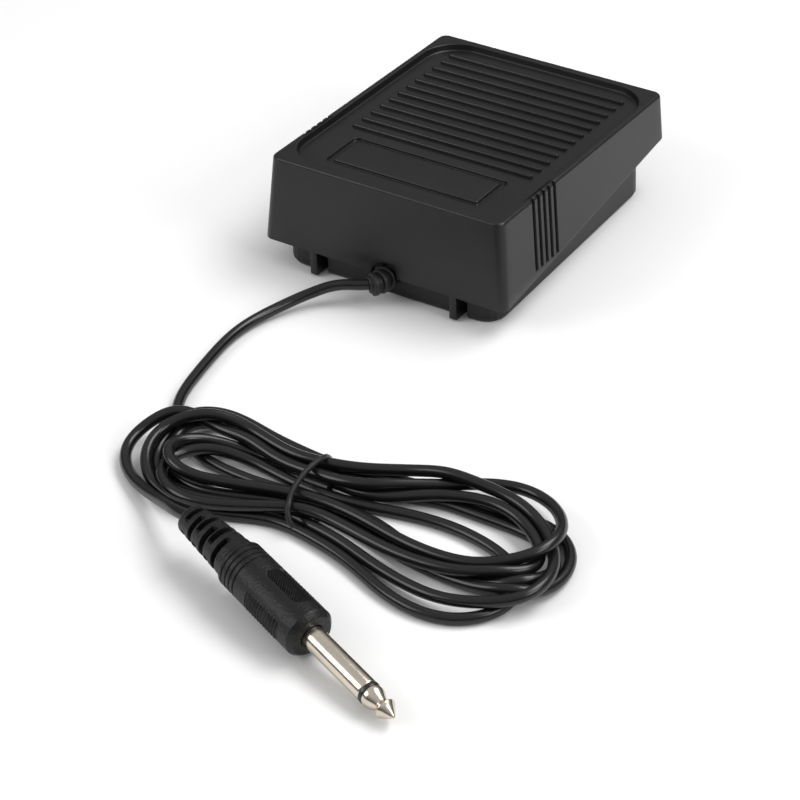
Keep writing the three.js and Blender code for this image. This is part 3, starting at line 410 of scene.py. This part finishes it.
def even(path, step):
    """The same path with evenly spaced points."""
    s = np.r_[0, np.cumsum(np.linalg.norm(np.diff(path, axis=0), axis=1))]
    u = np.linspace(0, s[-1], int(round(s[-1] / step)) + 1)
    return np.stack([np.interp(u, s, path[:, k]) for k in range(3)], axis=1)


def bow(path):
    """How far each point is from the middle of its neighbours."""
    out = np.zeros_like(path)
    out[1:-1] = 0.5 * (path[:-2] + path[2:]) - path[1:-1]
    return out


def fair(path, free, rounds=1):
    """Takes out small waves without shortening the path."""
    for _ in range(rounds):
        for share in (0.5, -0.52):
            path = path + share * bow(path) * free
    return path


def curvature(path):
    """One over the radius of the circle through each point and its neighbours."""
    a, b, c = path[:-2], path[1:-1], path[2:]
    sides = [np.linalg.norm(v, axis=1) for v in (b - a, c - b, c - a)]
    out = np.zeros(len(path))
    twice_area = np.linalg.norm(np.cross(b - a, c - a), axis=1)
    out[1:-1] = 2 * twice_area / np.maximum(np.prod(sides, axis=0), 1e-9)
    return out


def near_pairs(path, reach, apart):
    """Pairs of a point and a segment that lie close together but far apart along the cord."""
    gap = np.linalg.norm(path[:, None] - 0.5 * (path[:-1] + path[1:])[None], axis=2)
    order = np.arange(len(path))
    return np.where((gap < reach) & (np.abs(order[:, None] - order[None, :-1] + 0.5) > apart))


def part_strands(path, pairs, share):
    """The shift that moves overlapping strands away from each other."""
    i, j = pairs
    start, along = path[j], path[j + 1] - path[j]
    t = np.clip(((path[i] - start) * along).sum(1) / (along ** 2).sum(1), 0, 1)
    gap = path[i] - start - t[:, None] * along
    far = np.linalg.norm(gap, axis=1)
    hit = far < 2 * CORD_R
    i, j, t, gap, far = i[hit], j[hit], t[hit], gap[hit], far[hit]
    push = gap / np.maximum(far, 1e-3)[:, None] * ((2 * CORD_R - far) * share)[:, None]
    shift, count = np.zeros_like(path), np.zeros(len(path))
    for at, part in ((i, 1 + 0 * t), (j, t - 1), (j + 1, -t)):
        np.add.at(shift, at, push * part[:, None])
        np.add.at(count, at, np.abs(part))
    return shift / (np.maximum(count, 1) ** 0.8)[:, None]


def rest_on_floor(path):
    path[:, 2] = np.maximum(path[:, 2], CORD_R)
    return path


def lay_strands(way, rounds=260):
    """Draws a path through the way points and settles its strands on each other.

    The lead and the stretch at the plug are held. The rest is drawn back to where it was placed, more
    firmly across the line of sight than along it, because the heights are guesses.
    """
    path = even(np.array(smooth_path(way, 8)), LAY_STEP)
    path = fair(path, 1, 25)
    held = np.zeros(len(path))
    held[:HELD_LEAD] = held[-HELD_TAIL:] = 1
    held = np.where(held == 0, 0.999 * np.convolve(held, np.ones(9) / 9, "same"), held)
    free = (1 - held)[:, None]
    start = path.copy()
    sight = start - np.array(CAMERA_AT)
    sight /= np.linalg.norm(sight, axis=1)[:, None]
    for turn in range(rounds):
        if turn % 8 == 0:
            pairs = near_pairs(path, REACH, 5)
        path = path + part_strands(path, pairs, 0.5) * free
        path[:, 2] -= (0.03 if turn < 0.8 * rounds else 0) * free[:, 0]
        drift = path - start
        along = (drift * sight).sum(1)[:, None] * sight
        drift = 0.996 * along + 0.97 * (drift - along)
        for _ in range(3 if turn < 0.7 * rounds else 1):
            drift = drift + 0.5 * bow(drift)
        path = np.where(free <= 0, start, start + drift)
        if turn < 0.9 * rounds:
            path = fair(path, free)
        path = rest_on_floor(path)
    return path


def ease_bends(path, radius=7.4, rounds=110):
    """Opens bends that are tighter than the cord takes."""
    free = np.ones((len(path), 1))
    free[:12] = free[-3:] = 0
    for turn in range(rounds):
        tight = np.clip((curvature(path) * radius - 1) * 1.5, 0, 1)
        for _ in range(3):
            tight = np.maximum(tight, np.convolve(tight, [0.33, 0.34, 0.33], "same"))
        path = path + 0.5 * tight[:, None] * free * bow(path)
        path[:, 2] += 0.15 * bow(path)[:, 2] * free[:, 0]
        if turn % 8 == 0:
            pairs = near_pairs(path, REACH, 5)
        path = rest_on_floor(path + part_strands(path, pairs, 0.35) * free)
    return path


def blur(path, width):
    """A blur along the path that keeps its bends in place."""
    reach = int(3 * width)
    weight = np.exp(-0.5 * (np.arange(-reach, reach + 1) / width) ** 2)
    weight /= weight.sum()

    def once(p):
        ends = np.r_[2 * p[0] - p[1:reach + 1][::-1], p, 2 * p[-1] - p[-reach - 1:-1][::-1]]
        return np.stack([np.convolve(ends[:, k], weight, "valid") for k in range(3)], axis=1)

    soft = once(path)
    return soft + once(path - soft)


def settle(path, rounds=30):
    """Smooths the laid path and closes the last overlaps, with both ends held."""
    path = even(path, FINE_STEP)
    order = np.arange(len(path))
    free = np.clip((order - 14) / 25, 0, 1) * np.clip((len(path) - 7 - order) / 14, 0, 1)
    free = (free ** 2 * (3 - 2 * free))[:, None]
    laid = path
    path = rest_on_floor(laid + (blur(laid, 6) - laid) * free)
    for turn in range(rounds):
        if turn % 10 == 0:
            pairs = near_pairs(path, REACH, 10)
        path = rest_on_floor(path + 0.9 * free * blur(part_strands(path, pairs, 0.5), 5))
    return rest_on_floor(laid + (blur(path, 3.5) - laid) * free)


def curve_object(name, path, radius, closed=False, resolution=5):
    data = bpy.data.curves.new(name, "CURVE")
    data.dimensions = "3D"
    data.bevel_depth = radius * MM
    data.bevel_resolution = resolution
    data.use_fill_caps = not closed
    spline = data.splines.new("POLY")
    spline.points.add(len(path) - 1)
    for point, p in zip(spline.points, path):
        point.co = (p.x * MM, p.y * MM, p.z * MM, 1)
    spline.use_cyclic_u = closed
    spline.use_smooth = True
    return bpy.data.objects.new(name, data)


cord_path = even(settle(ease_bends(lay_strands(CORD_WAY))), CURVE_STEP)
cord = curve_object("cord", [Vector(p) for p in cord_path], CORD_R)
link(cord, CORD, "base", "cord_pvc", "cord_lead", "cord_hank", "cord_tail")

# The tie goes over the strands and back under them on the floor.
under = [(43.2, -152.5, 0.9), (42.0, -147.0, 0.83), (39.6, -140.0, 0.82), (36.6, -133.0, 0.83),
         (34.2, -129.0, 0.98), (32.6, -127.2, 1.8)]
tie = curve_object("tie", smooth_path(TIE_POINTS + under, 5, True), TIE_R, True, 4)
link(tie, RELIEF, "base", "cord_pvc", "cord_tie")


# ----------------------------------------------------------------- treadle
TILT = Matrix.Rotation(rad(-2.7), 4, "X")
TOP = Vector((0, 1.12, 33.8))
WIDTH, LENGTH = 79.0, 98.0
SKIRT_NEAR, SKIRT_FAR = 27.8, 14.6
WALL = 2.2
CORNER = 2.8
CORNER_SIDES = 8
SIDE_DRAFT, END_DRAFT = rad(5), rad(2)
EDGE = 0.9
RECESS_W, RECESS_L, RECESS_R, RECESS_D = 74.8, 92.0, 12.0, 2.0
RIBS, RIB_PITCH, RIB_FIRST, RIB_HALF = 12, 5.08, -16.8, 31.3
PLATE_W, PLATE_L, PLATE_Y, PLATE_R = 53.0, 17.2, -30.8, 2.0
GRIPS, GRIP_PITCH, GRIP_FIRST, GRIP_W, GRIP_D, GRIP_L = 5, 3.05, -31.0, 1.4, 0.9, 22.6
RELIEF_X, RELIEF_Y, RELIEF_Z = 0.9, -50.4, 7.4
RELIEF_BEND, RELIEF_R, RELIEF_TAPER = 6.5, 3.85, 0.12
RELIEF_RINGS, RELIEF_FIRST, RELIEF_PITCH = 3, -0.8, 2.35
ARCH_R = 4.75
LUG_X = 24.2


def tilted(part):
    verts, faces = part
    return [tuple(TILT @ Vector(v) + TOP) for v in verts], faces


def groove_marks():
    """Marks along the sides: how deep a grip groove cuts at y, 0 outside them."""
    marks = []
    for i in range(GRIPS):
        y = GRIP_FIRST + i * GRIP_PITCH
        h = GRIP_W / 2
        marks += [(y - h - 0.16, 0.0), (y - h - 0.04, 0.25), (y - h + 0.08, 1.0),
                  (y + h - 0.08, 1.0), (y + h + 0.04, 0.25), (y + h + 0.16, 0.0)]
    return marks


def skirt_loop(depth_at, inset=0.0, corner=CORNER, cut=0.0):
    """One loop of the skirt. depth_at gives depth below the top at (x, y)."""
    side_y = [(-44.0, 0.0), (-38.0, 0.0)] + groove_marks()
    side_y += [(y, 0.0) for y in range(-12, 45, 8)]
    arch = [RELIEF_X - (ARCH_R + 0.02) * math.cos(math.pi * i / 24) for i in range(25)]
    front = [-34, -30, -26.2, -23.6, -18, -12, -8, RELIEF_X - ARCH_R - 0.1] + arch
    front += [RELIEF_X + ARCH_R + 0.1, 10, 14, 18, 23.6, 26.2, 30, 34]
    corner_steps = range(CORNER_SIDES + 1)
    plan = [(1, 0, y, g) for y, g in side_y]
    plan += [(1, 1, k, 0) for k in corner_steps]
    plan += [(0, 1, x, 0) for x in range(30, -31, -10)]
    plan += [(-1, 1, k, 0) for k in corner_steps]
    plan += [(-1, 0, y, g) for y, g in reversed(side_y)]
    plan += [(-1, -1, k, 0) for k in corner_steps]
    plan += [(0, -1, x, 0) for x in front]
    plan += [(1, -1, k, 0) for k in corner_steps]
    out = []
    start = {(1, 1): 0, (-1, 1): 90, (-1, -1): 180, (1, -1): 270}
    for sx, sy, v, g in plan:
        probe_x = v if sx == 0 else sx * WIDTH / 2
        probe_y = v if sy == 0 else sy * LENGTH / 2
        if sx and sy:
            a = rad(start[(sx, sy)] + 90 * v / CORNER_SIDES)
            probe_y = sy * (LENGTH / 2 - CORNER) + CORNER * math.sin(a)
        d = depth_at(probe_x, probe_y)
        hw = WIDTH / 2 + d * math.tan(SIDE_DRAFT) - inset
        hl = LENGTH / 2 + d * math.tan(END_DRAFT) - inset
        if sx and sy:
            x = sx * (hw - corner) + corner * math.cos(a)
            y = sy * (hl - corner) + corner * math.sin(a)
        elif sx:
            x, y = sx * (hw - cut * g), v
        else:
            x, y = v, sy * hl
        out.append((x, y, -d))
    return out


def skirt_bottom(x, y):
    if y <= -LENGTH / 2 + 0.01 and abs(x - RELIEF_X) <= ARCH_R + 0.03:
        rise = math.sqrt(max(ARCH_R ** 2 - (x - RELIEF_X) ** 2, 0))
        return 36.16 - RELIEF_Z - rise
    slope = (SKIRT_NEAR - SKIRT_FAR) / LENGTH
    return SKIRT_NEAR - max(0.0, y + LENGTH / 2) * slope


def treadle_shell():
    bottom = skirt_bottom
    loops = [
        skirt_loop(lambda x, y: 4.2, WALL + 0.6, 0.6),
        skirt_loop(lambda x, y: 4.2, WALL, 0.8),
        skirt_loop(lambda x, y: min(bottom(x, y), 8.0), WALL, 0.8),
        skirt_loop(lambda x, y: bottom(x, y) - 0.15, WALL, 0.8),
        skirt_loop(bottom, WALL - 0.15, 0.9),
        skirt_loop(bottom, 0.35, CORNER - 0.3),
        skirt_loop(lambda x, y: bottom(x, y) - 0.1, 0.1, CORNER - 0.1),
        skirt_loop(lambda x, y: bottom(x, y) - 0.35, 0.0, CORNER),
        skirt_loop(lambda x, y: min(GRIP_L + 0.35, bottom(x, y) - 0.75), 0.0, CORNER),
        skirt_loop(lambda x, y: min(GRIP_L, bottom(x, y) - 1.1), 0.0, CORNER, GRIP_D),
    ]
    for k in range(7):
        a = rad(15 * k)
        inset = EDGE * (1 - math.cos(a))
        loops.append(skirt_loop(lambda x, y, a=a: EDGE * (1 - math.sin(a)), inset, CORNER - inset, GRIP_D))
    loops.append(skirt_loop(lambda x, y: 0.0, EDGE + 0.12, CORNER - EDGE - 0.12, GRIP_D))
    outer = rings(loops, True, False)
    rim = loops[-1]
    z = -RECESS_D
    wall = [(0.42, 0.0), (0.3, 0.0), (0.15, -0.04), (0.04, -0.14), (0.0, -0.32),
            (-0.36, z + 0.45), (-0.42, z + 0.22), (-0.55, z + 0.07), (-0.78, z), (-0.95, z)]
    dish = [rounded(RECESS_W + 2 * o, RECESS_L + 2 * o, RECESS_R + o, h, steps=20) for o, h in wall]
    groove = [(0.5, z), (0.32, z - 0.02), (0.14, z - 0.1), (0.03, z - 0.28), (-0.04, z - 0.75),
              (-0.2, z - 0.9), (-1.6, z - 0.9), (-1.76, z - 0.75), (-1.83, z - 0.28), (-1.94, z - 0.1),
              (-2.12, z), (-2.35, z + 0.02)]
    frame_loops = [rounded(PLATE_W + 2 * o, PLATE_L + 2 * o, max(PLATE_R + o, 0.5), h, 0, PLATE_Y, 8)
                   for o, h in groove]
    return merged([
        outer,
        flat_face(rim, [dish[0]]),
        rings(dish, False, False),
        flat_face(dish[-1], [frame_loops[0]]),
        rings(frame_loops, False, True),
    ])


def grip_rib(y):
    """One grip rib: a long bar with rounded ends and a soft crest."""
    z = -RECESS_D
    steps = [(0.82, -0.1), (0.78, 0.1), (0.7, 0.4), (0.62, 0.7), (0.52, 0.92), (0.36, 1.06), (0.16, 1.1)]
    half = RIB_HALF - steps[0][0]
    loops = []
    for r, h in steps:
        pts = []
        for sx, a0 in ((1, -90), (-1, 90)):
            for i in range(13):
                a = rad(a0 + 15 * i)
                pts.append((sx * half + r * math.cos(a), y + r * math.sin(a), z + h))
        loops.append(pts)
    return rings(loops)


def hinge_lug(x):
    profile = [(-49.98, 1.0), (-49.9, 0.72), (-49.6, 0.57), (-45.2, 0.57), (-42.2, 0.75), (-41.75, 1.2),
               (-41.6, 7.4), (-46.4, 9.6), (-48.2, 13.9), (-49.2, 13.9), (-49.9, 8.9), (-50.02, 8.2)]
    return prism_x(profile, x - 1.2, x + 1.2)


def treadle_inside():
    """Below the roof: the spring's guide, the switch's post, the two stops and the two snap hooks."""
    roof = 31.0
    guide_r, guide_wall, guide_y = 8.6, 1.4, 11.1
    post_x, post_y, post_end = (15, 18), (-10.5, -7.5), 21.9
    stop_x, stop_y = 24, 35
    hook_x, hook_half = 13, 3
    guide = [(guide_r, 21.4), (guide_r + 0.2, 21.2), (guide_r + guide_wall - 0.2, 21.2),
             (guide_r + guide_wall, 21.4), (guide_r + guide_wall, 29.0), (guide_r, 29.0), (guide_r, 25.6)]
    seat = [(0.5, 25.5), (guide_r + 0.1, 25.5), (guide_r + 0.1, 29.4), (0.5, 29.4)]
    stop = [(3.6, 27.3), (4, 27.7), (4, 29.6), (0.5, 29.6)]
    hook = [(37.9, 29.0), (37.9, 13.0), (36.5, 13.0), (36.5, 12.2), (37.9, 10.9), (39.4, 10.9), (39.4, 29.0)]
    parts = [turned_part(guide, 0, guide_y), turned_part(seat, 0, guide_y),
             box_part(*post_x, *post_y, post_end, roof)]
    for side in (-1, 1):
        parts.append(turned_part(stop, side * stop_x, stop_y))
        parts.append(prism_x(hook, side * hook_x - hook_half, side * hook_x + hook_half, 0.1))
    return parts


treadle_parts = [tilted(treadle_shell())]
treadle_parts += [tilted(grip_rib(RIB_FIRST + i * RIB_PITCH)) for i in range(RIBS)]
treadle_parts += [hinge_lug(-LUG_X), hinge_lug(LUG_X)] + treadle_inside()
treadle = made("treadle_shell", *merged(treadle_parts))
link(treadle, SHELL, "treadle", "shell_plastic", "treadle")


# ------------------------------------------------------------------ spring
def coil(x, y, bottom, top, radius, wire, turns, steps=28, sides=10):
    """A coil of round wire whose end turns lie closed."""
    loops = []
    total = int(turns * steps)
    for i in range(total + 1):
        t = i / total
        rise = 0.075 * math.sin(2 * math.pi * t)
        z = bottom + wire + (top - bottom - 2 * wire) * (t - rise)
        a = 2 * math.pi * turns * t
        ring = []
        for k in range(sides):
            b = 2 * math.pi * k / sides
            r = radius + wire * math.cos(b)
            ring.append((x + r * math.cos(a), y + r * math.sin(a), z + wire * math.sin(b)))
        loops.append(ring)
    return rings(loops)


spring = made("spring_coil", *coil(x=0, y=12, bottom=3.1, top=25.2, radius=6.6, wire=0.75, turns=6.5))
link(spring, STEEL, "base", "steel", "return_spring")
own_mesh(spring)


# ----------------------------------------------------------- strain relief
def relief_place(distance):
    """Where the relief's bent axis is at this distance from the tray, and how far it has turned."""
    a = max(distance, 0) / RELIEF_BEND
    x = RELIEF_X - RELIEF_BEND * (1 - math.cos(a))
    return x, RELIEF_Y - min(distance, 0) - RELIEF_BEND * math.sin(a), a


def swept(profile, sides=48):
    """A round section swept along the relief's axis, radius by distance."""
    loops = []
    for distance, r in profile:
        x, y, a = relief_place(distance)
        ring = []
        for i in range(sides):
            t = 2 * math.pi * i / sides
            ring.append((x + r * math.cos(t) * math.cos(a), y - r * math.cos(t) * math.sin(a),
                         RELIEF_Z + r * math.sin(t)))
        loops.append(ring)
    return rings(loops)


relief_profile = [(-8.8, 0.6), (-8.8, 4.1), (-8.6, 4.35), (-5.9, 4.4), (-5.7, 4.2), (-5.65, 2.9), (-2.8, 2.9),
                  (-2.6, 2.6)]
for i in range(RELIEF_RINGS):
    centre = RELIEF_FIRST + RELIEF_PITCH * i
    r = RELIEF_R - RELIEF_TAPER * i
    rise = [(-0.9, 2.6), (-0.78, 2.62), (-0.72, 2.8), (-0.7, r - 0.35), (-0.6, r - 0.12), (-0.4, r)]
    relief_profile += [(centre + d, k) for d, k in rise]
    relief_profile += [(centre - d, k) for d, k in reversed(rise)]
relief_profile += [(5.2, 2.55), (5.38, 2.4), (5.4, 1.7), (4.7, 1.66), (4.7, 0.6)]
relief = made("relief_shell", *swept(relief_profile))
link(relief, RELIEF, "base", "cord_pvc", "strain_relief")


# -------------------------------------------------------------------- plug
SHOULDER = Vector((72.1, -195.2, 7.2))
BOOT_SAG, SAG_FROM = 0.0028, -31.5  # the boot droops behind the barrel
yaw, pitch = rad(-20.5), rad(-6.4)
axis = Vector((math.cos(yaw) * math.cos(pitch), math.sin(yaw) * math.cos(pitch), math.sin(pitch)))
side = axis.cross(Vector((0, 0, 1))).normalized()
lift = side.cross(axis)


def plug_point(s, t, r, sag=True):
    """Point at s along the plug, at angle t from its side direction, radius r."""
    drop = -BOOT_SAG * min(s - SAG_FROM, 0.0) ** 2 if sag else 0.0
    return tuple(SHOULDER + axis * s + side * (r * math.cos(t)) + lift * (r * math.sin(t))
                 + Vector((0, 0, drop)))


def ease(edge0, edge1, v):
    t = min(max((v - edge0) / (edge1 - edge0), 0.0), 1.0)
    return t * t * (3 - 2 * t)


def turn_gap(deg, centre):
    return abs((deg - centre + 180) % 360 - 180)


OUTLINE = [(-54.0, 3.2), (-53.85, 3.6), (-53.5, 3.95), (-53.0, 4.2), (-46.0, 4.9), (-36.0, 5.65),
           (-32.6, 5.9), (-31.9, 5.92), (-31.6, 6.05), (-31.45, 6.35), (-31.2, 6.7), (-31.0, 6.8),
           (-24.0, 6.85), (-1.7, 7.0), (-1.5, 6.96), (-0.5, 6.15), (-0.15, 5.86), (0.0, 5.6)]
COLLAR = [-29.9, -28.2, -26.5, -24.8]
SLOTS_A, SLOTS_B = (-50.6, -44.8, -38.9), (-47.2, -41.3, -35.4)
PATCH_S, PATCH_HALF, PATCH_R = (-19.6, -5.6), 25.0, 6.75
KNURLS, RIBBED = (108.0, 288.0), (4.0, 184.0)


def outline(s):
    for (s0, r0), (s1, r1) in zip(OUTLINE, OUTLINE[1:]):
        if s <= s1:
            return r0 + (r1 - r0) * (s - s0) / (s1 - s0)
    return OUTLINE[-1][1]


def patch_mask(s, deg, centre, corner=1.4):
    half_l = (PATCH_S[1] - PATCH_S[0]) / 2
    half_w = rad(PATCH_HALF) * PATCH_R
    u = abs(s - sum(PATCH_S) / 2) - half_l + corner
    v = rad(turn_gap(deg, centre)) * PATCH_R - half_w + corner
    d = math.hypot(max(u, 0), max(v, 0)) + min(max(u, v), 0) - corner
    return 1 - ease(-0.22, 0.06, d)


def plug_radius(s, deg):
    r = outline(s)
    for c in COLLAR:
        r -= 0.38 * (1 - ease(0.14, 0.36, abs(s - c)))
    for slots, centre in ((SLOTS_A, 108.0), (SLOTS_B, 18.0)):
        gap = min(turn_gap(deg, centre), turn_gap(deg, centre + 180))
        for c in slots:
            if abs(s - c) < 1.5 and gap < 70:
                over = rad(max(gap - 60.0, 0)) * r
                d = math.hypot(s - c, over)
                depth = 1 - ease(0.72, 0.92, d)
                r -= (r - 2.9) * depth
    knurl = max(patch_mask(s, deg, centre, 2.0) for centre in KNURLS)
    ribs = max(patch_mask(s, deg, centre, 1.0) for centre in RIBBED)
    r -= 0.36 * knurl
    if ribs > 0:
        wave = 0.5 + 0.5 * math.cos(2 * math.pi * (s - PATCH_S[0]) / 1.17)
        r += ribs * (0.6 * wave ** 0.8 - 0.3)
    return r


def stations(start, stop, step):
    return [start + i * step for i in range(math.ceil((stop - start) / step))]


def plug_lines():
    """Where the plug's rings lie: close together on the slots, the collar and the patches."""
    return ([-54.0, -53.9, -53.75, -53.5, -53.2, -52.9, -52.5] + stations(-52.1, -34.2, 0.2)
            + [-34.0, -33.5, -33.0, -32.6, -32.2, -31.9, -31.7, -31.55, -31.45, -31.3, -31.15, -31.0]
            + stations(-30.6, -24.2, 0.12) + [-23.8, -22.6, -21.4, -20.5] + stations(-20.1, -5.1, 0.19)
            + [-4.7, -4.0, -2.5, -1.9, -1.7, -1.55, -1.3, -0.9, -0.5, -0.3, -0.15, -0.05, 0.0])


def plug_ring(s, radius_at, sides, sag=True):
    """A ring round the plug at s, whose radius depends on the angle."""
    return [plug_point(s, 2 * math.pi * i / sides, radius_at(360 * i / sides), sag) for i in range(sides)]


def plug_body(sides=176):
    back = [(OUTLINE[0][0], r) for r in (0.5, 1.7, 2.6)]
    face = [(0.0, 5.2), (0.0, 3.45), (-0.08, 3.34), (-0.25, 3.3), (-5.7, 3.27), (-5.7, 0.5)]
    loops = [plug_ring(s, lambda deg, r=r: r, sides) for s, r in back]
    loops += [plug_ring(s, lambda deg, s=s: plug_radius(s, deg), sides) for s in plug_lines()]
    loops += [plug_ring(s, lambda deg, r=r: r, sides) for s, r in face]
    parts = [rings(loops)]
    # Diamond studs in the two knurled patches.
    pitch_s, pitch_t = 0.86, 7.3
    rows = int((PATCH_S[1] - PATCH_S[0]) / pitch_s * 2)
    for centre in KNURLS:
        for row in range(rows):
            s = PATCH_S[0] + 0.5 + row * pitch_s / 2
            for col in range(-4, 5):
                deg = centre + (col + 0.5 * (row % 2)) * pitch_t
                if patch_mask(s, deg, centre, 2.0) < 0.98:
                    continue
                base = outline(s) - 0.4
                foot = [(s - 0.34, 0), (s, -2.7), (s + 0.34, 0), (s, 2.7)]
                low = [plug_point(a, rad(deg + b), base) for a, b in foot]
                top = [plug_point(s + (a - s) * 0.35, rad(deg + b * 0.35), base + 0.4) for a, b in foot]
                parts.append(rings([low, top]))
    return merged(parts)


plug = made("plug_shell", *plug_body(), sharp=30)
link(plug, PLUG, "base", "plug_pvc", "plug_body")


def turned_plug(profile, sides=64):
    return rings([plug_ring(s, lambda deg, r=r: r, sides, False) for r, s in profile])


sleeve = made("plug_sleeve_shell", *turned_plug(
    [(0.5, -5.7), (3.175, -5.7), (3.175, 0.0), (3.175, 22.35), (3.13, 22.55), (3.0, 22.7), (0.5, 22.7)]))
link(sleeve, NICKEL, "base", "nickel", "plug_sleeve")
collar_ring = made("plug_ring", *turned_plug(
    [(0.5, 22.72), (3.0, 22.72), (3.17, 22.85), (3.175, 23.1), (3.175, 23.85), (3.12, 23.98), (0.5, 24.0)]))
link(collar_ring, RING, "base", "ring_plastic", "plug_insulator")
tip_profile = [(0.5, 24.02), (2.9, 24.02), (3.08, 24.12), (3.14, 24.4), (3.12, 25.3), (3.0, 25.7),
               (2.7, 26.5), (2.3, 27.3), (1.95, 27.95), (1.82, 28.3), (1.86, 28.5), (2.15, 28.8),
               (2.65, 29.35), (2.85, 29.6), (2.9, 29.72), (2.87, 29.88), (2.3, 30.65), (1.5, 31.75),
               (0.75, 32.8), (0.36, 33.25), (0.1, 33.38)]
tip = made("plug_tip_shell", *turned_plug(tip_profile))
link(tip, NICKEL, "base", "nickel", "plug_tip")


# ------------------------------------------------------------------- stage
floor_mat, floor_tree, floor_bsdf = nodes_of("floor")
floor_tone = noise(floor_tree, 3, 2)
floor_colour = ramp(floor_tree, floor_tone, [(0.2, grey(0.86)), (0.8, grey(0.88))])
floor_tree.links.new(floor_colour.outputs["Color"], floor_bsdf.inputs["Base Color"])
floor_bsdf.inputs["Roughness"].default_value = 0.65
floor_bsdf.inputs["Specular IOR Level"].default_value = 0.2
FLOOR = 6.0  # metres from the middle to each edge
floor_mesh = bpy.data.meshes.new("floor")
corners = [(-FLOOR, -FLOOR, 0), (FLOOR, -FLOOR, 0), (FLOOR, FLOOR, 0), (-FLOOR, FLOOR, 0)]
floor_mesh.from_pydata(corners, [], [(0, 1, 2, 3)])
floor = bpy.data.objects.new("floor", floor_mesh)
bpy.context.scene.collection.objects.link(floor)
floor_mesh.materials.append(floor_mat)

# The surroundings: white overhead, darker towards the floor, which keeps the sides of the pedal dark.
world = bpy.data.worlds.new("world")
world.use_nodes = True
bpy.context.scene.world = world
sky = world.node_tree.nodes["Background"]
sky.inputs["Strength"].default_value = 0.62
coord = world.node_tree.nodes.new("ShaderNodeTexCoord")
upward = world.node_tree.nodes.new("ShaderNodeSeparateXYZ")
shade = world.node_tree.nodes.new("ShaderNodeValToRGB")
for stop, place, tone in zip(shade.color_ramp.elements, (0.15, 0.75), (0.1, 1)):
    stop.position = place
    stop.color = grey(tone)
world.node_tree.links.new(coord.outputs["Generated"], upward.inputs["Vector"])
world.node_tree.links.new(upward.outputs["Z"], shade.inputs["Fac"])
world.node_tree.links.new(shade.outputs["Color"], sky.inputs["Color"])
bpy.context.scene.view_settings.view_transform = "Standard"


def area(name, place, aim, width, height, power):
    """A soft rectangular light, in metres and watts."""
    light = bpy.data.lights.new(name, "AREA")
    light.shape = "RECTANGLE"
    light.size, light.size_y = width, height
    light.energy = power
    obj = bpy.data.objects.new(name, light)
    obj.location = place
    way = Vector(aim) - Vector(place)
    obj.rotation_mode = "QUATERNION"
    obj.rotation_quaternion = way.to_track_quat("-Z", "Y")
    bpy.context.scene.collection.objects.link(obj)


area("key", (0.45, 0.4, 1.05), (0.02, -0.08, 0), 0.9, 0.55, 9.4)
area("left", (-0.8, -0.9, 0.75), (0.05, -0.15, 0), 0.7, 0.7, 5.8)
area("right", (1.1, -0.1, 0.7), (0.03, -0.08, 0), 0.6, 0.45, 4)
